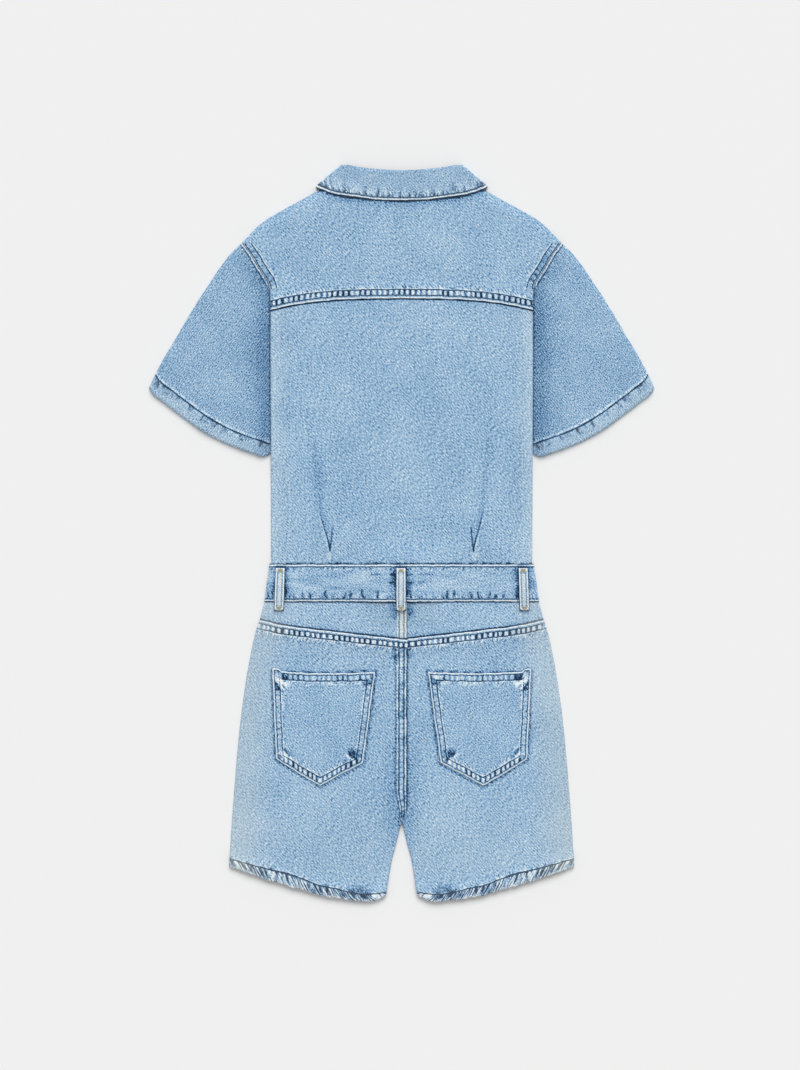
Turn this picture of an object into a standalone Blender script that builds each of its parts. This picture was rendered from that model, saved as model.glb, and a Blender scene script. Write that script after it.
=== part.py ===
# Denim shortalls laid flat, back side up: +X to the right, +Y towards the collar, +Z up.
# Sizes are in millimetres and turned into metres where a mesh is made.
# Heights run along Y from the middle of the garment; half widths run along X from its centre line.

from collections import namedtuple
from math import cos, hypot, pi, sin

import bmesh
import bpy
from mathutils import Vector

for item in list(bpy.data.objects):
    bpy.data.objects.remove(item, do_unlink=True)

# driving sizes
mm = 0.001
middleShift = 0.6             # brings the middle of the whole length to Y = 0
cloth = 1.0                   # wall of one layer of denim
gap = 0.3                     # between layers, and between pieces at a seam
ply = cloth + gap             # what one more layer adds to a stack
puff = 1.9                    # air between front and back away from the edges
slack = 0.4                   # looseness of the back on the front away from the edges

seamLap = 9.0                 # how far one panel runs under the next at a lapped seam
lapRamp = 11.0                # where a lapped panel comes down again to its own level
sleeveTuck = 9.0              # sleeve root inside the armhole
sleeveDepth = 2 * cloth + 0.6
hemCloth = 2.2                # turned hems are two layers thick
legHem = 11.5
sleeveHem = 16.0

bandTop, bandBottom = -34.3, -72.5
bandCloth = 1.6
bandTuck = 9.0                # cloth of bodice and shorts inside the waistband
bandSide = 3.0                # radius of the waistband's folded sides
bandReach = 26.0              # how far from the band the cloth rises to it

loopWidth, loopHigh = 10.3, 45.7
loopCloth = 1.1
loopArch = 1.2                # clear height under a belt loop
loopInset = 2.6               # a loop's upper end below the waistband's upper edge

buttonRadius, buttonThick = 8.0, 1.6
buttonBevel = 0.6
buttonLift = buttonThick + gap
buttonHeights = (268.0, 210.0, 152.0, 94.0, 36.0, -53.4, -105.0, -155.0)
frontLap = 14.0               # each front runs this far past the centre line
lapSlope = 40.0               # width over which the fronts come down beside the lap
flyEnd, flyTaper = -185.0, 60.0
crotch = -304.5
seamHalf = 4.8                # half the width of the felled centre seam

neckCentre, neckRise, neckCorner = 352.0, 6.5, 85.0
shoulderTip = 303.5           # height of the shoulder's outer end
frontNeckDrop = 52.0
pocketStep = ply

denim = (0.314, 0.474, 0.631)
paleDenim = (0.343, 0.500, 0.650)
darkDenim = (0.240, 0.395, 0.552)
denimRoughness = 0.9
buttonMetal = (0.42, 0.40, 0.37)
buttonRoughness = 0.4

Section = namedtuple("Section", "height halfWidth")
Corner = namedtuple("Corner", "x height")
Row = namedtuple("Row", "down shift")      # share of the way down, then a distance up

# half width of the bodice from the shoulder to the waist
bodiceOutline = (
    Section(359.0, 85.0), Section(352.8, 97.0), Section(346.5, 108.6), Section(333.9, 131.8),
    Section(321.3, 150.0), Section(308.7, 162.0), Section(shoulderTip, 167.0), Section(285.4, 154.8),
    Section(270.4, 146.0), Section(261.8, 140.2), Section(254.1, 138.3), Section(200.0, 137.7),
    Section(80.9, 137.2), Section(-24.0, 136.6), Section(-34.0, 135.0), Section(-46.0, 135.0),
)
# half width of the shorts from inside the waistband to the hem
shortsOutline = (
    Section(-60.0, 138.6), Section(-72.0, 140.4), Section(-77.0, 144.4), Section(-88.2, 147.5),
    Section(-107.1, 153.8), Section(-132.3, 159.1), Section(-176.4, 166.4), Section(-218.4, 171.2),
    Section(-260.4, 174.8), Section(-302.4, 178.0), Section(-344.4, 180.6), Section(-352.0, 181.0),
)
# inner edge of a leg, from the crotch down
innerLeg = (
    Section(-304.5, 0.4), Section(-312.0, 2.1), Section(-323.4, 4.9), Section(-344.4, 10.2),
    Section(-369.6, 14.4), Section(-386.5, 17.0),
)
# lapped seams and edges, from the centre line outward
yokeSeam = (Corner(0.0, 245.1), Corner(62.7, 243.8), Corner(105.7, 239.5), Corner(137.7, 232.7))
hipSeam = (
    Corner(0.0, -113.2), Corner(43.5, -108.2), Corner(83.7, -103.4), Corner(123.8, -98.1),
    Corner(150.0, -92.5),
)
legEdge = (
    Corner(16.5, -381.0), Corner(23.0, -384.7), Corner(36.0, -386.4), Corner(62.7, -383.3),
    Corner(80.5, -380.9), Corner(97.3, -375.9), Corner(118.5, -370.2), Corner(140.4, -363.3),
    Corner(159.3, -357.0), Corner(181.2, -350.2),
)
# the sleeve from the shoulder to the underarm: where it leaves the body, and its hem
armhole = (
    Corner(165.0, 300.5), Corner(154.8, 285.4), Corner(146.3, 270.8), Corner(140.6, 261.8),
    Corner(138.3, 252.0), Corner(137.6, 200.0), Corner(137.3, 140.0), Corner(137.2, 86.0),
)
sleeveEdge = (
    Corner(264.0, 150.6), Corner(247.0, 137.0), Corner(230.0, 123.4), Corner(213.0, 110.6),
    Corner(193.2, 99.0), Corner(172.0, 90.0), Corner(156.0, 83.6), Corner(146.2, 80.4),
)
sleeveBulge = 6.5
bulgeTo = Corner(0.85, 0.53)
# collar: the fold at the top, the free edge of the fall, and the same on the hidden front
foldCentre, foldCorner = 378.7, Corner(61.4, 383.1)
fallEdge = (Corner(0.0, 347.6), Corner(40.6, 350.3), Corner(71.1, 354.9), Corner(89.3, 361.8))
frontFold = Corner(5.0, 328.0)
frontPoint = Corner(60.0, 288.0)
collarSide = 2.4              # radius of the collar's folded sides
fallInset, fallDrop = 1.6, 1.2
standInset, standNarrow = 3.0, 6.0
# patch pocket: its corners and its pointed foot, from the centre line
pocketInner, pocketOuter = Corner(26.6, -145.9), Corner(136.4, -144.9)
pocketInnerLow, pocketOuterLow = Corner(39.8, -242.6), Corner(132.0, -238.4)
pocketTip = Corner(85.4, -267.1)
pocketDip = 1.6
# stitched fold in the back above the waist: height and distance from the centre line
pleatLine = ((-34.3, 74.6), (-20.4, 75.3), (-8.4, 77.6), (5.0, 81.6), (16.0, 84.6), (40.0, 86.8),
             (60.0, 88.6), (100.0, 94.0), (133.0, 99.0))
pleatHigh = 1.5               # rise of the cloth at the fold
pleatStep = 2.6               # width over which it drops there
pleatSpread = 26.0            # width over which it comes down towards the side
pleatFoot = -11.5             # full height of the fold; it fades from here to the end of its line
pleatColumn = 0.6             # share of the panel's columns that lies inside the fold

# bends of a turned edge, from the upper side down
sideTurns = (pi / 3, pi / 9, -pi / 9, -pi / 3)

# small helpers


def smooth(start, end, value):
    share = min(1.0, max(0.0, (value - start) / (end - start)))
    return share * share * (3.0 - 2.0 * share)


def mix(first, second, share):
    return first + (second - first) * share


def along(table, at):
    # value of a two-column table at a place in its first column, in either order
    rows = sorted(table)
    if at <= rows[0][0]:
        return rows[0][1]
    for low, high in zip(rows, rows[1:]):
        if at <= high[0]:
            return mix(low[1], high[1], (at - low[0]) / (high[0] - low[0]))
    return rows[-1][1]


def pointOn(corners, share):
    # a place along a row of corners, by length
    lengths = [hypot(b.x - a.x, b.height - a.height) for a, b in zip(corners, corners[1:])]
    rest = share * sum(lengths)
    for a, b, length in zip(corners, corners[1:], lengths):
        if rest <= length:
            return Corner(mix(a.x, b.x, rest / length), mix(a.height, b.height, rest / length))
        rest -= length
    return corners[-1]


def makeMaterial(name, colour, roughness, metallic=0.0):
    material = bpy.data.materials.new(name)
    material.use_nodes = True
    shader = material.node_tree.nodes["Principled BSDF"]
    shader.inputs["Base Color"].default_value = (*colour, 1.0)
    shader.inputs["Roughness"].default_value = roughness
    shader.inputs["Metallic"].default_value = metallic
    return material


def makeDenim(name, colour):
    return makeMaterial("denim_" + name, colour, denimRoughness)


garment = bpy.data.objects.new("garment", None)
bpy.context.scene.collection.objects.link(garment)
garment.location = (0.0, middleShift * mm, 0.0)


def placeMesh(name, builder, material):
    mesh = bpy.data.meshes.new(name)
    bmesh.ops.recalc_face_normals(builder, faces=builder.faces)
    builder.to_mesh(mesh)
    builder.free()
    mesh.shade_smooth()
    mesh.set_sharp_from_angle(angle=pi / 5)
    mesh.materials.append(material)
    piece = bpy.data.objects.new(name, mesh)
    bpy.context.scene.collection.objects.link(piece)
    piece.parent = garment
    return piece


def addWall(name, outer, inner, material, closed=False):
    # a cloth wall between two grids of points, closed along its edges
    builder = bmesh.new()
    grids = []
    for grid in (outer, inner):
        grids.append([[builder.verts.new(Vector(spot) * mm) for spot in row] for row in grid])
    rows, columns = len(outer), len(outer[0])
    spans = columns if closed else columns - 1
    for grid in grids:
        for r in range(rows - 1):
            for c in range(spans):
                n = (c + 1) % columns
                builder.faces.new((grid[r][c], grid[r][n], grid[r + 1][n], grid[r + 1][c]))
    for r in (0, rows - 1):
        for c in range(spans):
            n = (c + 1) % columns
            builder.faces.new((grids[0][r][c], grids[1][r][c], grids[1][r][n], grids[0][r][n]))
    for c in () if closed else (0, columns - 1):
        for r in range(rows - 1):
            builder.faces.new((grids[0][r][c], grids[0][r + 1][c], grids[1][r + 1][c], grids[1][r][c]))
    return placeMesh(name, builder, material)


def addPanel(name, columns, rows, place, under, material, thick=None):
    # a panel lying on what is below it: place gives x and y, under the height of its underside
    upper, lower = [], []
    for row in rows:
        spots = [place(column, row) for column in columns]
        lower.append([(x, y, under(x, y)) for x, y in spots])
        wall = thick or (lambda x, y: cloth)
        upper.append([(x, y, under(x, y) + wall(x, y)) for x, y in spots])
    return addWall(name, upper, lower, material)


# heights of the layers


def lapHalf(y):
    # how far the fronts overlap past the centre line, narrow below the fly
    wide = mix(seamHalf, frontLap, smooth(flyEnd - flyTaper, flyEnd, y))
    return wide * smooth(crotch + 1.0, crotch + 26.0, y)


def centreShare(x, y):
    # 1 where both fronts lie on each other, 0 beside the lap
    reach = lapHalf(y) + 3.0
    return 1.0 - smooth(reach, reach + lapSlope, abs(x))


def buttonShare(y):
    return smooth(flyEnd - flyTaper, flyEnd, y)


def waistShare(y):
    # 1 inside the waistband, falling to 0 on both sides
    above = 1.0 - smooth(bandTop + 4.0, bandTop + bandReach, y)
    below = smooth(bandBottom - bandReach, bandBottom - 4.0, y)
    return above * below


def collarShare(x, y):
    # 1 where the front part of the collar lies under the front panels
    edge = 314.0 - 0.42 * min(abs(x), frontPoint.x)
    return smooth(edge - 38.0, edge - 14.0, y) * (1.0 - smooth(92.0, 118.0, abs(x)))


def frontUnder(x, y):
    # underside of the outer front layer
    lap = centreShare(x, y) * buttonShare(y)
    band = waistShare(y)
    return buttonLift * (band + lap * (1.0 + band)) + ply * collarShare(x, y)


def innerFrontUnder(x, y):
    return frontUnder(x, y) + ply * centreShare(x, y)


def hemShare(x, y):
    # 1 over the turned hem of a leg
    edge = along(legEdge, abs(x))
    return 1.0 - smooth(edge + legHem + 1.5, edge + legHem + 10.0, y)


def edgeInset(x, y):
    # distance from the nearest side of the garment
    if y > bandBottom:
        return along(bodiceOutline, y) - abs(x)
    outer = along(shortsOutline, y) - abs(x)
    if y > crotch:
        return outer
    return min(outer, abs(x) - along(innerLeg, y))


def sleeveShare(y):
    # 1 along the armhole, where the sleeve lies between front and back
    return smooth(62.0, 76.0, y) * (1.0 - smooth(308.0, 322.0, y))


def backUnder(x, y):
    # underside of the back panels
    lap = centreShare(x, y)
    band = waistShare(y)
    arm = sleeveShare(y)
    start = (sleeveTuck + 4.0) * arm
    inset = smooth(start, start + 18.0, edgeInset(x, y))
    air = mix((sleeveDepth + gap) * arm, puff, inset)
    stack = frontUnder(x, y) + ply * (1.0 + lap) + slack * inset
    return stack + (1.0 - lap) * (1.0 - band) * air + (hemCloth - cloth) * hemShare(x, y)


def pleatRise(x, y):
    # the stitched fold: rises slowly from the side and drops at its line
    fade = 1.0 - smooth(pleatFoot, pleatLine[-1][0], y)
    fade *= smooth(bandTop + 1.0, bandTop + 14.0, y)
    offset = abs(x) - along(pleatLine, y)
    drop = smooth(-pleatStep, 0.0, offset)
    return pleatHigh * fade * drop * (1.0 - smooth(0.0, pleatSpread, offset))


def bodiceUnder(x, y):
    return backUnder(x, y) + pleatRise(x, y)


def lapShare(distance):
    # 1 over the lapped strip, 0 where the panel is down again
    return 1.0 - smooth(seamLap + 1.0, seamLap + 1.0 + lapRamp, distance)


def yokeUnder(x, y):
    return backUnder(x, y) + ply * lapShare(y - along(yokeSeam, abs(x)))


def seamShare(x, side):
    # 1 over the felled centre seam, falling towards the given side
    return 1.0 - smooth(seamHalf + 0.6, seamHalf + 12.0, side * x)


def rightHipUnder(x, y):
    return backUnder(x, y)


def leftHipUnder(x, y):
    return backUnder(x, y) + ply * seamShare(x, -1)


def rightLegUnder(x, y):
    top = lapShare(along(hipSeam, abs(x)) - y)
    return backUnder(x, y) + ply * top * (1.0 + seamShare(x, 1))


def leftLegUnder(x, y):
    top = lapShare(along(hipSeam, abs(x)) - y)
    over = seamShare(x, -1)
    return backUnder(x, y) + ply * (top * (1.0 + over) + over)


def legThick(x, y):
    edge = along(legEdge, abs(x))
    return mix(hemCloth, cloth, smooth(edge + legHem - 0.6, edge + legHem + 0.6, y))


# bodice


def mirrored(shares):
    return [-share for share in reversed(shares) if share] + list(shares)


def lowered(row, top, bottom):
    return mix(top, bottom, row.down) + row.shift


def neckLine(x):
    return neckCentre + neckRise * (x / neckCorner) ** 2


def backYoke():
    corner = bodiceOutline[0]
    tip = (corner.height - shoulderTip) / (corner.height - yokeSeam[-1].height)
    rows = [Row(0, 0), Row(0.13, 0), Row(0.29, 0), Row(tip, 0), Row(0.60, 0), Row(0.72, 0)]
    rows += [Row(1, seamLap + 1 + lapRamp), Row(1, seamLap + 1), Row(1, 4.0), Row(1, 0)]

    def place(share, row):
        top = neckLine(share * neckCorner)
        bottom = along(yokeSeam, abs(share) * yokeSeam[-1].x)
        y = lowered(row, top, bottom)
        return share * along(bodiceOutline, y), y

    columns = mirrored([0, 0.1, 0.2, 0.31, 0.43, 0.55, 0.67, 0.78, 0.86, 0.92, 0.97, 1])
    addPanel("back_yoke", columns, rows, place, yokeUnder, makeDenim("back_yoke", denim))


def bodiceBack():
    rows = [Row(share, 0) for share in (0, 0.04, 0.11, 0.2, 0.3, 0.4, 0.5, 0.59, 0.66, 0.72, 0.78, 0.84)]
    rows += [Row(1, bandTuck + bandReach + 2), Row(1, bandTuck + 14), Row(1, bandTuck + 3), Row(1, 0)]

    def place(share, row):
        top = along(yokeSeam, abs(share) * yokeSeam[-1].x) + seamLap
        y = lowered(row, top, bandTop - bandTuck)
        line = along(pleatLine, y)
        edge = along(bodiceOutline, y)
        reach = abs(share)
        if reach <= pleatColumn:
            x = line * reach / pleatColumn
        else:
            x = mix(line, edge, (reach - pleatColumn) / (1.0 - pleatColumn))
        return (x if share >= 0 else -x), y

    step = pleatColumn * (1.0 - pleatStep / pleatLine[0][1])
    inside = [0, 0.1, 0.19, 0.28, 0.38, 0.48, 0.55, step, pleatColumn]
    outside = [0.67, 0.74, 0.83, 0.9, 0.96, 1]
    columns = mirrored(inside + outside)
    addPanel("bodice_back", columns, rows, place, bodiceUnder, makeDenim("bodice_back", denim))


def frontNeck(x):
    # neckline of the hidden fronts, lower than at the back
    return neckLine(neckCorner) - frontNeckDrop * (1.0 - min(1.0, abs(x) / neckCorner) ** 2)


def bodiceFront(name, side, under):
    rows = [Row(share, 0) for share in (0, 0.03, 0.06, 0.09, 0.12, 0.15, 0.19, 0.27, 0.42, 0.6, 0.78)]
    rows += [Row(1, bandTuck + bandReach + 2), Row(1, bandTuck + 14), Row(1, bandTuck + 3), Row(1, 0)]

    def place(share, row):
        reach = mix(-frontLap, neckCorner, share)
        y = lowered(row, frontNeck(reach), bandTop - bandTuck)
        return side * mix(-frontLap, along(bodiceOutline, y), share), y

    columns = (0, 0.09, 0.18, 0.27, 0.37, 0.5, 0.64, 0.78, 0.9, 1)
    addPanel(name, columns, rows, place, under, makeDenim(name, denim))


# shorts


def hipYoke(name, side, under):
    rows = [Row(0, 0), Row(0, -8.8), Row(0, -13.0), Row(0, -23.5), Row(0, -35.0), Row(1, 0)]

    def place(share, row):
        bottom = along(hipSeam, share * hipSeam[-1].x) - seamLap
        y = lowered(row, bandBottom + bandTuck, bottom)
        return side * mix(-seamHalf, along(shortsOutline, y), share), y

    columns = (0, 0.06, 0.11, 0.16, 0.21, 0.26, 0.31, 0.36, 0.44, 0.57, 0.7, 0.84, 0.93, 1)
    addPanel(name, columns, rows, place, under, makeDenim(name, denim))


legRows = [Row(0.2, 0), Row(0.29, 0), Row(0.38, 0), Row(0.47, 0), Row(0.56, 0), Row(0.64, 0), Row(0.71, 0)]
legRows += [Row(0.76, 0), Row(0.82, 0), Row(0.89, 0), Row(1, legHem + 10.0), Row(1, legHem + 0.6)]
legRows += [Row(1, legHem - 0.6), Row(1, 3.0), Row(1, 0)]


def innerSide(y, lap):
    # a leg's inner edge: past the centre line above the crotch, beside it below
    if y > crotch:
        return -lap * smooth(crotch, crotch + 24.0, y) + innerLeg[0].halfWidth
    return along(innerLeg, y)


def addLeg(name, side, under, top, firstRows, lap, columns):
    def place(share, row):
        upper = top(share)
        lower = along(legEdge, mix(legEdge[0].x, legEdge[-1].x, share))
        y = lowered(row, upper, lower)
        inner = innerSide(y, lap(y))
        return side * mix(inner, along(shortsOutline, y), share), y

    rows = firstRows + legRows
    addPanel(name, columns, rows, place, under, makeDenim(name, denim), legThick)


def backLeg(name, side, under):
    first = [Row(0, 0), Row(0, -4.0), Row(0, -seamLap - 1), Row(0, -seamLap - 1 - lapRamp)]
    columns = (0, 0.03, 0.06, 0.1, 0.17, 0.26, 0.36, 0.47, 0.58, 0.7, 0.81, 0.9, 0.96, 1)
    addLeg(name, side, under, lambda share: along(hipSeam, share * hipSeam[-1].x), first,
           lambda y: seamHalf, columns)


def frontLeg(name, side, under):
    first = [Row(0, 0), Row(0, -8.8), Row(0, -13.0), Row(0, -23.5), Row(0, -35.0)]
    columns = (0, 0.08, 0.16, 0.25, 0.35, 0.5, 0.68, 0.86, 1)
    addLeg(name, side, under, lambda share: bandBottom + bandTuck, first, lapHalf, columns)


def pocketPlace(side):
    def place(share, row):
        # share runs from the inner to the outer side, row.down from the top to the pointed foot
        low = mix(pocketInnerLow.height, pocketOuterLow.height, share)
        top = mix(pocketInner.height, pocketOuter.height, share) - pocketDip * sin(pi * share)
        tipShare = (pocketTip.x - pocketInnerLow.x) / (pocketOuterLow.x - pocketInnerLow.x)
        near = share / tipShare if share < tipShare else (1.0 - share) / (1.0 - tipShare)
        foot = mix(low, pocketTip.height, min(1.0, near))
        y = mix(top, foot, row.down)
        sink = (y - pocketInner.height) / (pocketInnerLow.height - pocketInner.height)
        inner = mix(pocketInner.x, pocketInnerLow.x, min(1.0, max(0.0, sink)))
        outer = mix(pocketOuter.x, pocketOuterLow.x, min(1.0, max(0.0, sink)))
        return side * mix(inner, outer, share), y
    return place


def pocket(name, side, legUnder):
    columns = (0, 0.06, 0.17, 0.33, 0.494, 0.66, 0.83, 0.94, 1)
    rows = [Row(share, 0) for share in (0, 0.08, 0.22, 0.4, 0.6, 0.8, 0.93, 1)]
    addPanel(name, columns, rows, pocketPlace(side), lambda x, y: legUnder(x, y) + pocketStep,
             makeDenim(name, paleDenim))


# sleeves


def armOffset(share, distance):
    # a place beside the armhole, outward when the distance is positive
    before, after = pointOn(armhole, max(0.0, share - 0.04)), pointOn(armhole, min(1.0, share + 0.04))
    length = hypot(after.x - before.x, after.height - before.height)
    spot = pointOn(armhole, share)
    outX, outY = -(after.height - before.height) / length, (after.x - before.x) / length
    return Corner(spot.x + outX * distance, spot.height + outY * distance)


def sleeve(name, side):
    # a flattened tube: the ring goes over the top from the shoulder fold to the underarm and back below
    shares = [0, 0.012, 0.05, 0.14, 0.25, 0.37, 0.5, 0.63, 0.76, 0.88, 0.955, 0.988, 1]
    ring = [(share, 1) for share in shares] + [(share, -1) for share in reversed(shares[1:-1])]
    near = [(-sleeveTuck, ply), (1.5, ply), (9.0, 0.0)]
    far = [0.2, 0.4, 0.6, 0.8, 1.0]

    def spotAt(share, row):
        if row < len(near):
            return armOffset(share, near[row][0])
        root, edge = armOffset(share, near[-1][0]), pointOn(sleeveEdge, share)
        length = hypot(edge.x - root.x, edge.height - root.height)
        hemStart = 1 - min(0.6, sleeveHem / length)
        stations = [hemStart * down for down in far] + [hemStart + min(0.06, 1.2 / length), 1]
        down = stations[row - len(near)]
        bulge = sleeveBulge * sin(pi * down) * (1.0 - share)
        x = mix(root.x, edge.x, down) + bulge * bulgeTo.x
        return Corner(x, mix(root.height, edge.height, down) + bulge * bulgeTo.height)

    outer, inner = [], []
    total = len(near) + len(far) + 2
    for row in range(total):
        hem = row >= total - 2
        wall = hemCloth if hem else cloth
        floor = near[row][1] if row < len(near) else 0.0
        air = 0.6 if row < len(near) or hem else 1.4
        high = 2 * wall + air
        first, last = spotAt(0, row), spotAt(1, row)
        width = hypot(first.x - last.x, first.height - last.height)
        outerRow, innerRow = [], []
        for share, face in ring:
            rim = 1.0 if 0.01 < share < 0.99 else 0.0
            spot = spotAt(share, row)
            outerRow.append((side * spot.x, spot.height, floor + high / 2 * (1 + face * rim)))
            slim = mix(1.3 * wall / width, 1 - 1.3 * wall / width, share)
            spot = spotAt(slim, row)
            innerRow.append((side * spot.x, spot.height, floor + high / 2 + face * rim * air / 2))
        outer.append(outerRow)
        inner.append(innerRow)
    addWall(name, outer, inner, makeDenim(name, denim), closed=True)


# waistband, loops and buttons


def bandHalf(y):
    return mix(138.8, 144.0, (bandTop - y) / (bandTop - bandBottom))


def bandUnder(x):
    # underside of the back of the waistband, clear of the lapped yokes at the centre
    middle = (bandTop + bandBottom) / 2
    lapped = 1.0 - smooth(seamHalf + 16.0, seamHalf + 48.0, abs(x))
    return backUnder(x, middle) + ply + ply * lapped + slack * lapped


def bandFrontUnder(x, side, middle):
    # underside of an end of the waistband at the front; the left end lies over the right one
    low = buttonLift * centreShare(x, middle)
    if side < 0:
        low += (bandCloth + gap) * centreShare(x, middle)
    return low


def waistband():
    # a flattened ring, open at the front: outer and inner points of each row, from one end
    # over the front, the back and the front again
    middle = (bandTop + bandBottom) / 2
    heights = (bandTop, mix(bandTop, bandBottom, 0.12), mix(bandTop, bandBottom, 0.88), bandBottom)
    softEdges = (0.35, 0.0, 0.0, 0.35)
    backShares = mirrored([0, 0.05, 0.1, 0.15, 0.2, 0.25, 0.3, 0.36, 0.47, 0.62, 0.8, 1])
    sideShares = [1, 0.85, 0.65, 0.5, 0.38, 0.28, 0.2, 0.13, 0.07, 0.0, -0.06]
    thin = bandSide - bandCloth
    outer, inner = [], []
    for y, soft in zip(heights, softEdges):
        flat = bandHalf(y) - bandSide
        wings = {}
        for side in (-1, 1):
            wing = []
            top = bandUnder(flat) + bandCloth
            for angle in sideTurns:
                outerHigh = top / 2 * (1 + sin(angle))
                innerHigh = top / 2 + (top / 2 - bandCloth) * sin(angle)
                wing.append(((side * (flat + bandSide * cos(angle)), y, outerHigh),
                             (side * (flat + thin * cos(angle)), y, innerHigh)))
            for share in sideShares + [-frontLap / flat]:
                x = side * share * flat
                low = bandFrontUnder(x, side, middle)
                wing.append(((x, y, low), (x, y, low + bandCloth - soft)))
            wings[side] = wing
        back = []
        for share in backShares:
            x = share * flat
            back.append(((x, y, bandUnder(x) + bandCloth - soft), (x, y, bandUnder(x))))
        ring = wings[-1][::-1] + back + wings[1]
        outer.append([spots[0] for spots in ring])
        inner.append([spots[1] for spots in ring])
    addWall("waistband", outer, inner, makeDenim("waistband", paleDenim))


def beltLoop(name, x, lean):
    # a strip stitched at both ends and arched between them
    top = bandTop - loopInset
    arch = ((0.0, 0.0), (0.12, 0.0), (0.2, 0.75), (0.4, 1.0), (0.6, 1.0), (0.76, 0.75),
            (0.84, 0.0), (1.0, 0.0))
    crossings = ((-0.5, 0.3), (-0.36, 0.0), (0.36, 0.0), (0.5, 0.3))
    outer, inner = [], []
    for share, rise in arch:
        y = top - share * loopHigh
        middle = x + lean * (share - 0.5)
        sides = (bandUnder(middle - loopWidth / 2), bandUnder(middle + loopWidth / 2))
        low = max(sides) + bandCloth + gap + rise * loopArch
        outer.append([(middle + part * loopWidth, y, low + loopCloth - soft) for part, soft in crossings])
        inner.append([(middle + part * loopWidth, y, low) for part, soft in crossings])
    addWall(name, outer, inner, makeDenim(name, darkDenim))


def button(index, height):
    # a flat button on the outside of the front, so under the laid garment
    builder = bmesh.new()
    bmesh.ops.create_cone(builder, cap_ends=True, segments=20, radius1=buttonRadius * mm,
                          radius2=(buttonRadius - buttonBevel) * mm, depth=buttonThick * mm)
    material = makeMaterial(f"metal_button_{index}", buttonMetal, buttonRoughness, 1.0)
    piece = placeMesh(f"button_{index}", builder, material)
    piece.location = (0.0, height * mm, buttonThick / 2 * mm)


# collar


def collarStrip(name, foldAt, edgeAt, layers, wall, material):
    # a strip round the neck: back leaf on top, a turn at each side, a front leaf below
    # foldAt and edgeAt give the two long edges for a place from the back centre (0) over the
    # side (1) to the front end (2); layers gives the heights of back and front
    across = (0.0, 0.2, 0.5, 0.85, 1.0)
    backPlaces = (0.0, 0.15, 0.3, 0.45, 0.6, 0.72, 0.83, 0.92, 1.0)
    frontPlaces = (1.0, 1.12, 1.3, 1.5, 1.7, 1.86, 2.0)
    outer, inner = [], []
    corner, low = foldAt(1.0), edgeAt(1.0)
    length = hypot(low.x - corner.x, low.height - corner.height)
    outX, outY = -(low.height - corner.height) / length, (low.x - corner.x) / length

    def spot(place, share):
        a, b = foldAt(place), edgeAt(place)
        return mix(a.x, b.x, share), mix(a.height, b.height, share)

    for share in across:
        x, y = spot(1.0, share)
        lowSide, highSide = layers(x, y, False), layers(x, y, True) + wall
        middle, half = (lowSide + highSide) / 2, (highSide - lowSide) / 2
        wing, thinWing = [], []
        for place in backPlaces:
            x, y = spot(place, share)
            base = layers(x, y, True)
            wing.append((x, y, base + wall))
            thinWing.append((x, y, base))
        x, y = spot(1.0, share)
        radius = min(collarSide, half)
        thin = radius - wall
        for angle in sideTurns:
            reach, thinReach = radius * cos(angle), thin * cos(angle)
            high, thinHigh = half * sin(angle), (half - wall) * sin(angle)
            wing.append((x + outX * reach, y + outY * reach, middle + high))
            thinWing.append((x + outX * thinReach, y + outY * thinReach, middle + thinHigh))
        for place in frontPlaces:
            x, y = spot(place, share)
            base = layers(x, y, False)
            wing.append((x, y, base))
            thinWing.append((x, y, base + wall))
        outer.append([(-px, py, pz) for px, py, pz in reversed(wing[1:])] + wing)
        inner.append([(-px, py, pz) for px, py, pz in reversed(thinWing[1:])] + thinWing)
    addWall(name, outer, inner, material)


def onCurve(points, share):
    return pointOn(points, min(1.0, max(0.0, share)))


def fallFold(place):
    if place <= 1.0:
        x = place * foldCorner.x
        return Corner(x, foldCentre + (foldCorner.height - foldCentre) * place ** 2)
    return onCurve((foldCorner, frontFold), place - 1.0)


def fallFree(place):
    if place <= 1.0:
        x = place * (fallEdge[-1].x - fallInset)
        return Corner(x, along(fallEdge, x))
    start = Corner(fallEdge[-1].x - fallInset, fallEdge[-1].height - fallDrop)
    return onCurve((start, frontPoint), place - 1.0)


def standFold(place):
    spot = fallFold(place)
    if place <= 1.0:
        return Corner(spot.x - standInset * place, spot.height - standInset)
    return Corner(spot.x - standInset * (2.0 - place), spot.height - standInset)


def standFoot(place):
    side = neckCorner - standNarrow
    if place <= 1.0:
        x = place * side
        return Corner(x, neckLine(x) + gap)
    x = mix(side, frontFold.x, place - 1.0)
    return Corner(x, frontNeck(x) + gap + 1.0)


def fallLayer(x, y, back):
    return backUnder(x, y) + ply if back else 0.0


def standLayer(x, y, back):
    return backUnder(x, y) if back else frontUnder(x, y)


# build
backYoke()
bodiceBack()
bodiceFront("front_left", -1, innerFrontUnder)
bodiceFront("front_right", 1, frontUnder)
hipYoke("shorts_yoke_left", -1, leftHipUnder)
hipYoke("shorts_yoke_right", 1, rightHipUnder)
backLeg("leg_back_left", -1, leftLegUnder)
backLeg("leg_back_right", 1, rightLegUnder)
frontLeg("leg_front_left", -1, innerFrontUnder)
frontLeg("leg_front_right", 1, frontUnder)
pocket("pocket_left", -1, leftLegUnder)
pocket("pocket_right", 1, rightLegUnder)
sleeve("sleeve_left", -1)
sleeve("sleeve_right", 1)
waistband()
beltLoop("belt_loop_left", -127.9, -0.9)
beltLoop("belt_loop_centre", -0.7, 0.0)
beltLoop("belt_loop_right", 127.9, 0.9)
for index, height in enumerate(buttonHeights, 1):
    button(index, height)
collarStrip("collar_stand", standFold, standFoot, standLayer, cloth, makeDenim("stand", denim))
collarStrip("collar_fall", fallFold, fallFree, fallLayer, cloth, makeDenim("fall", paleDenim))
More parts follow.
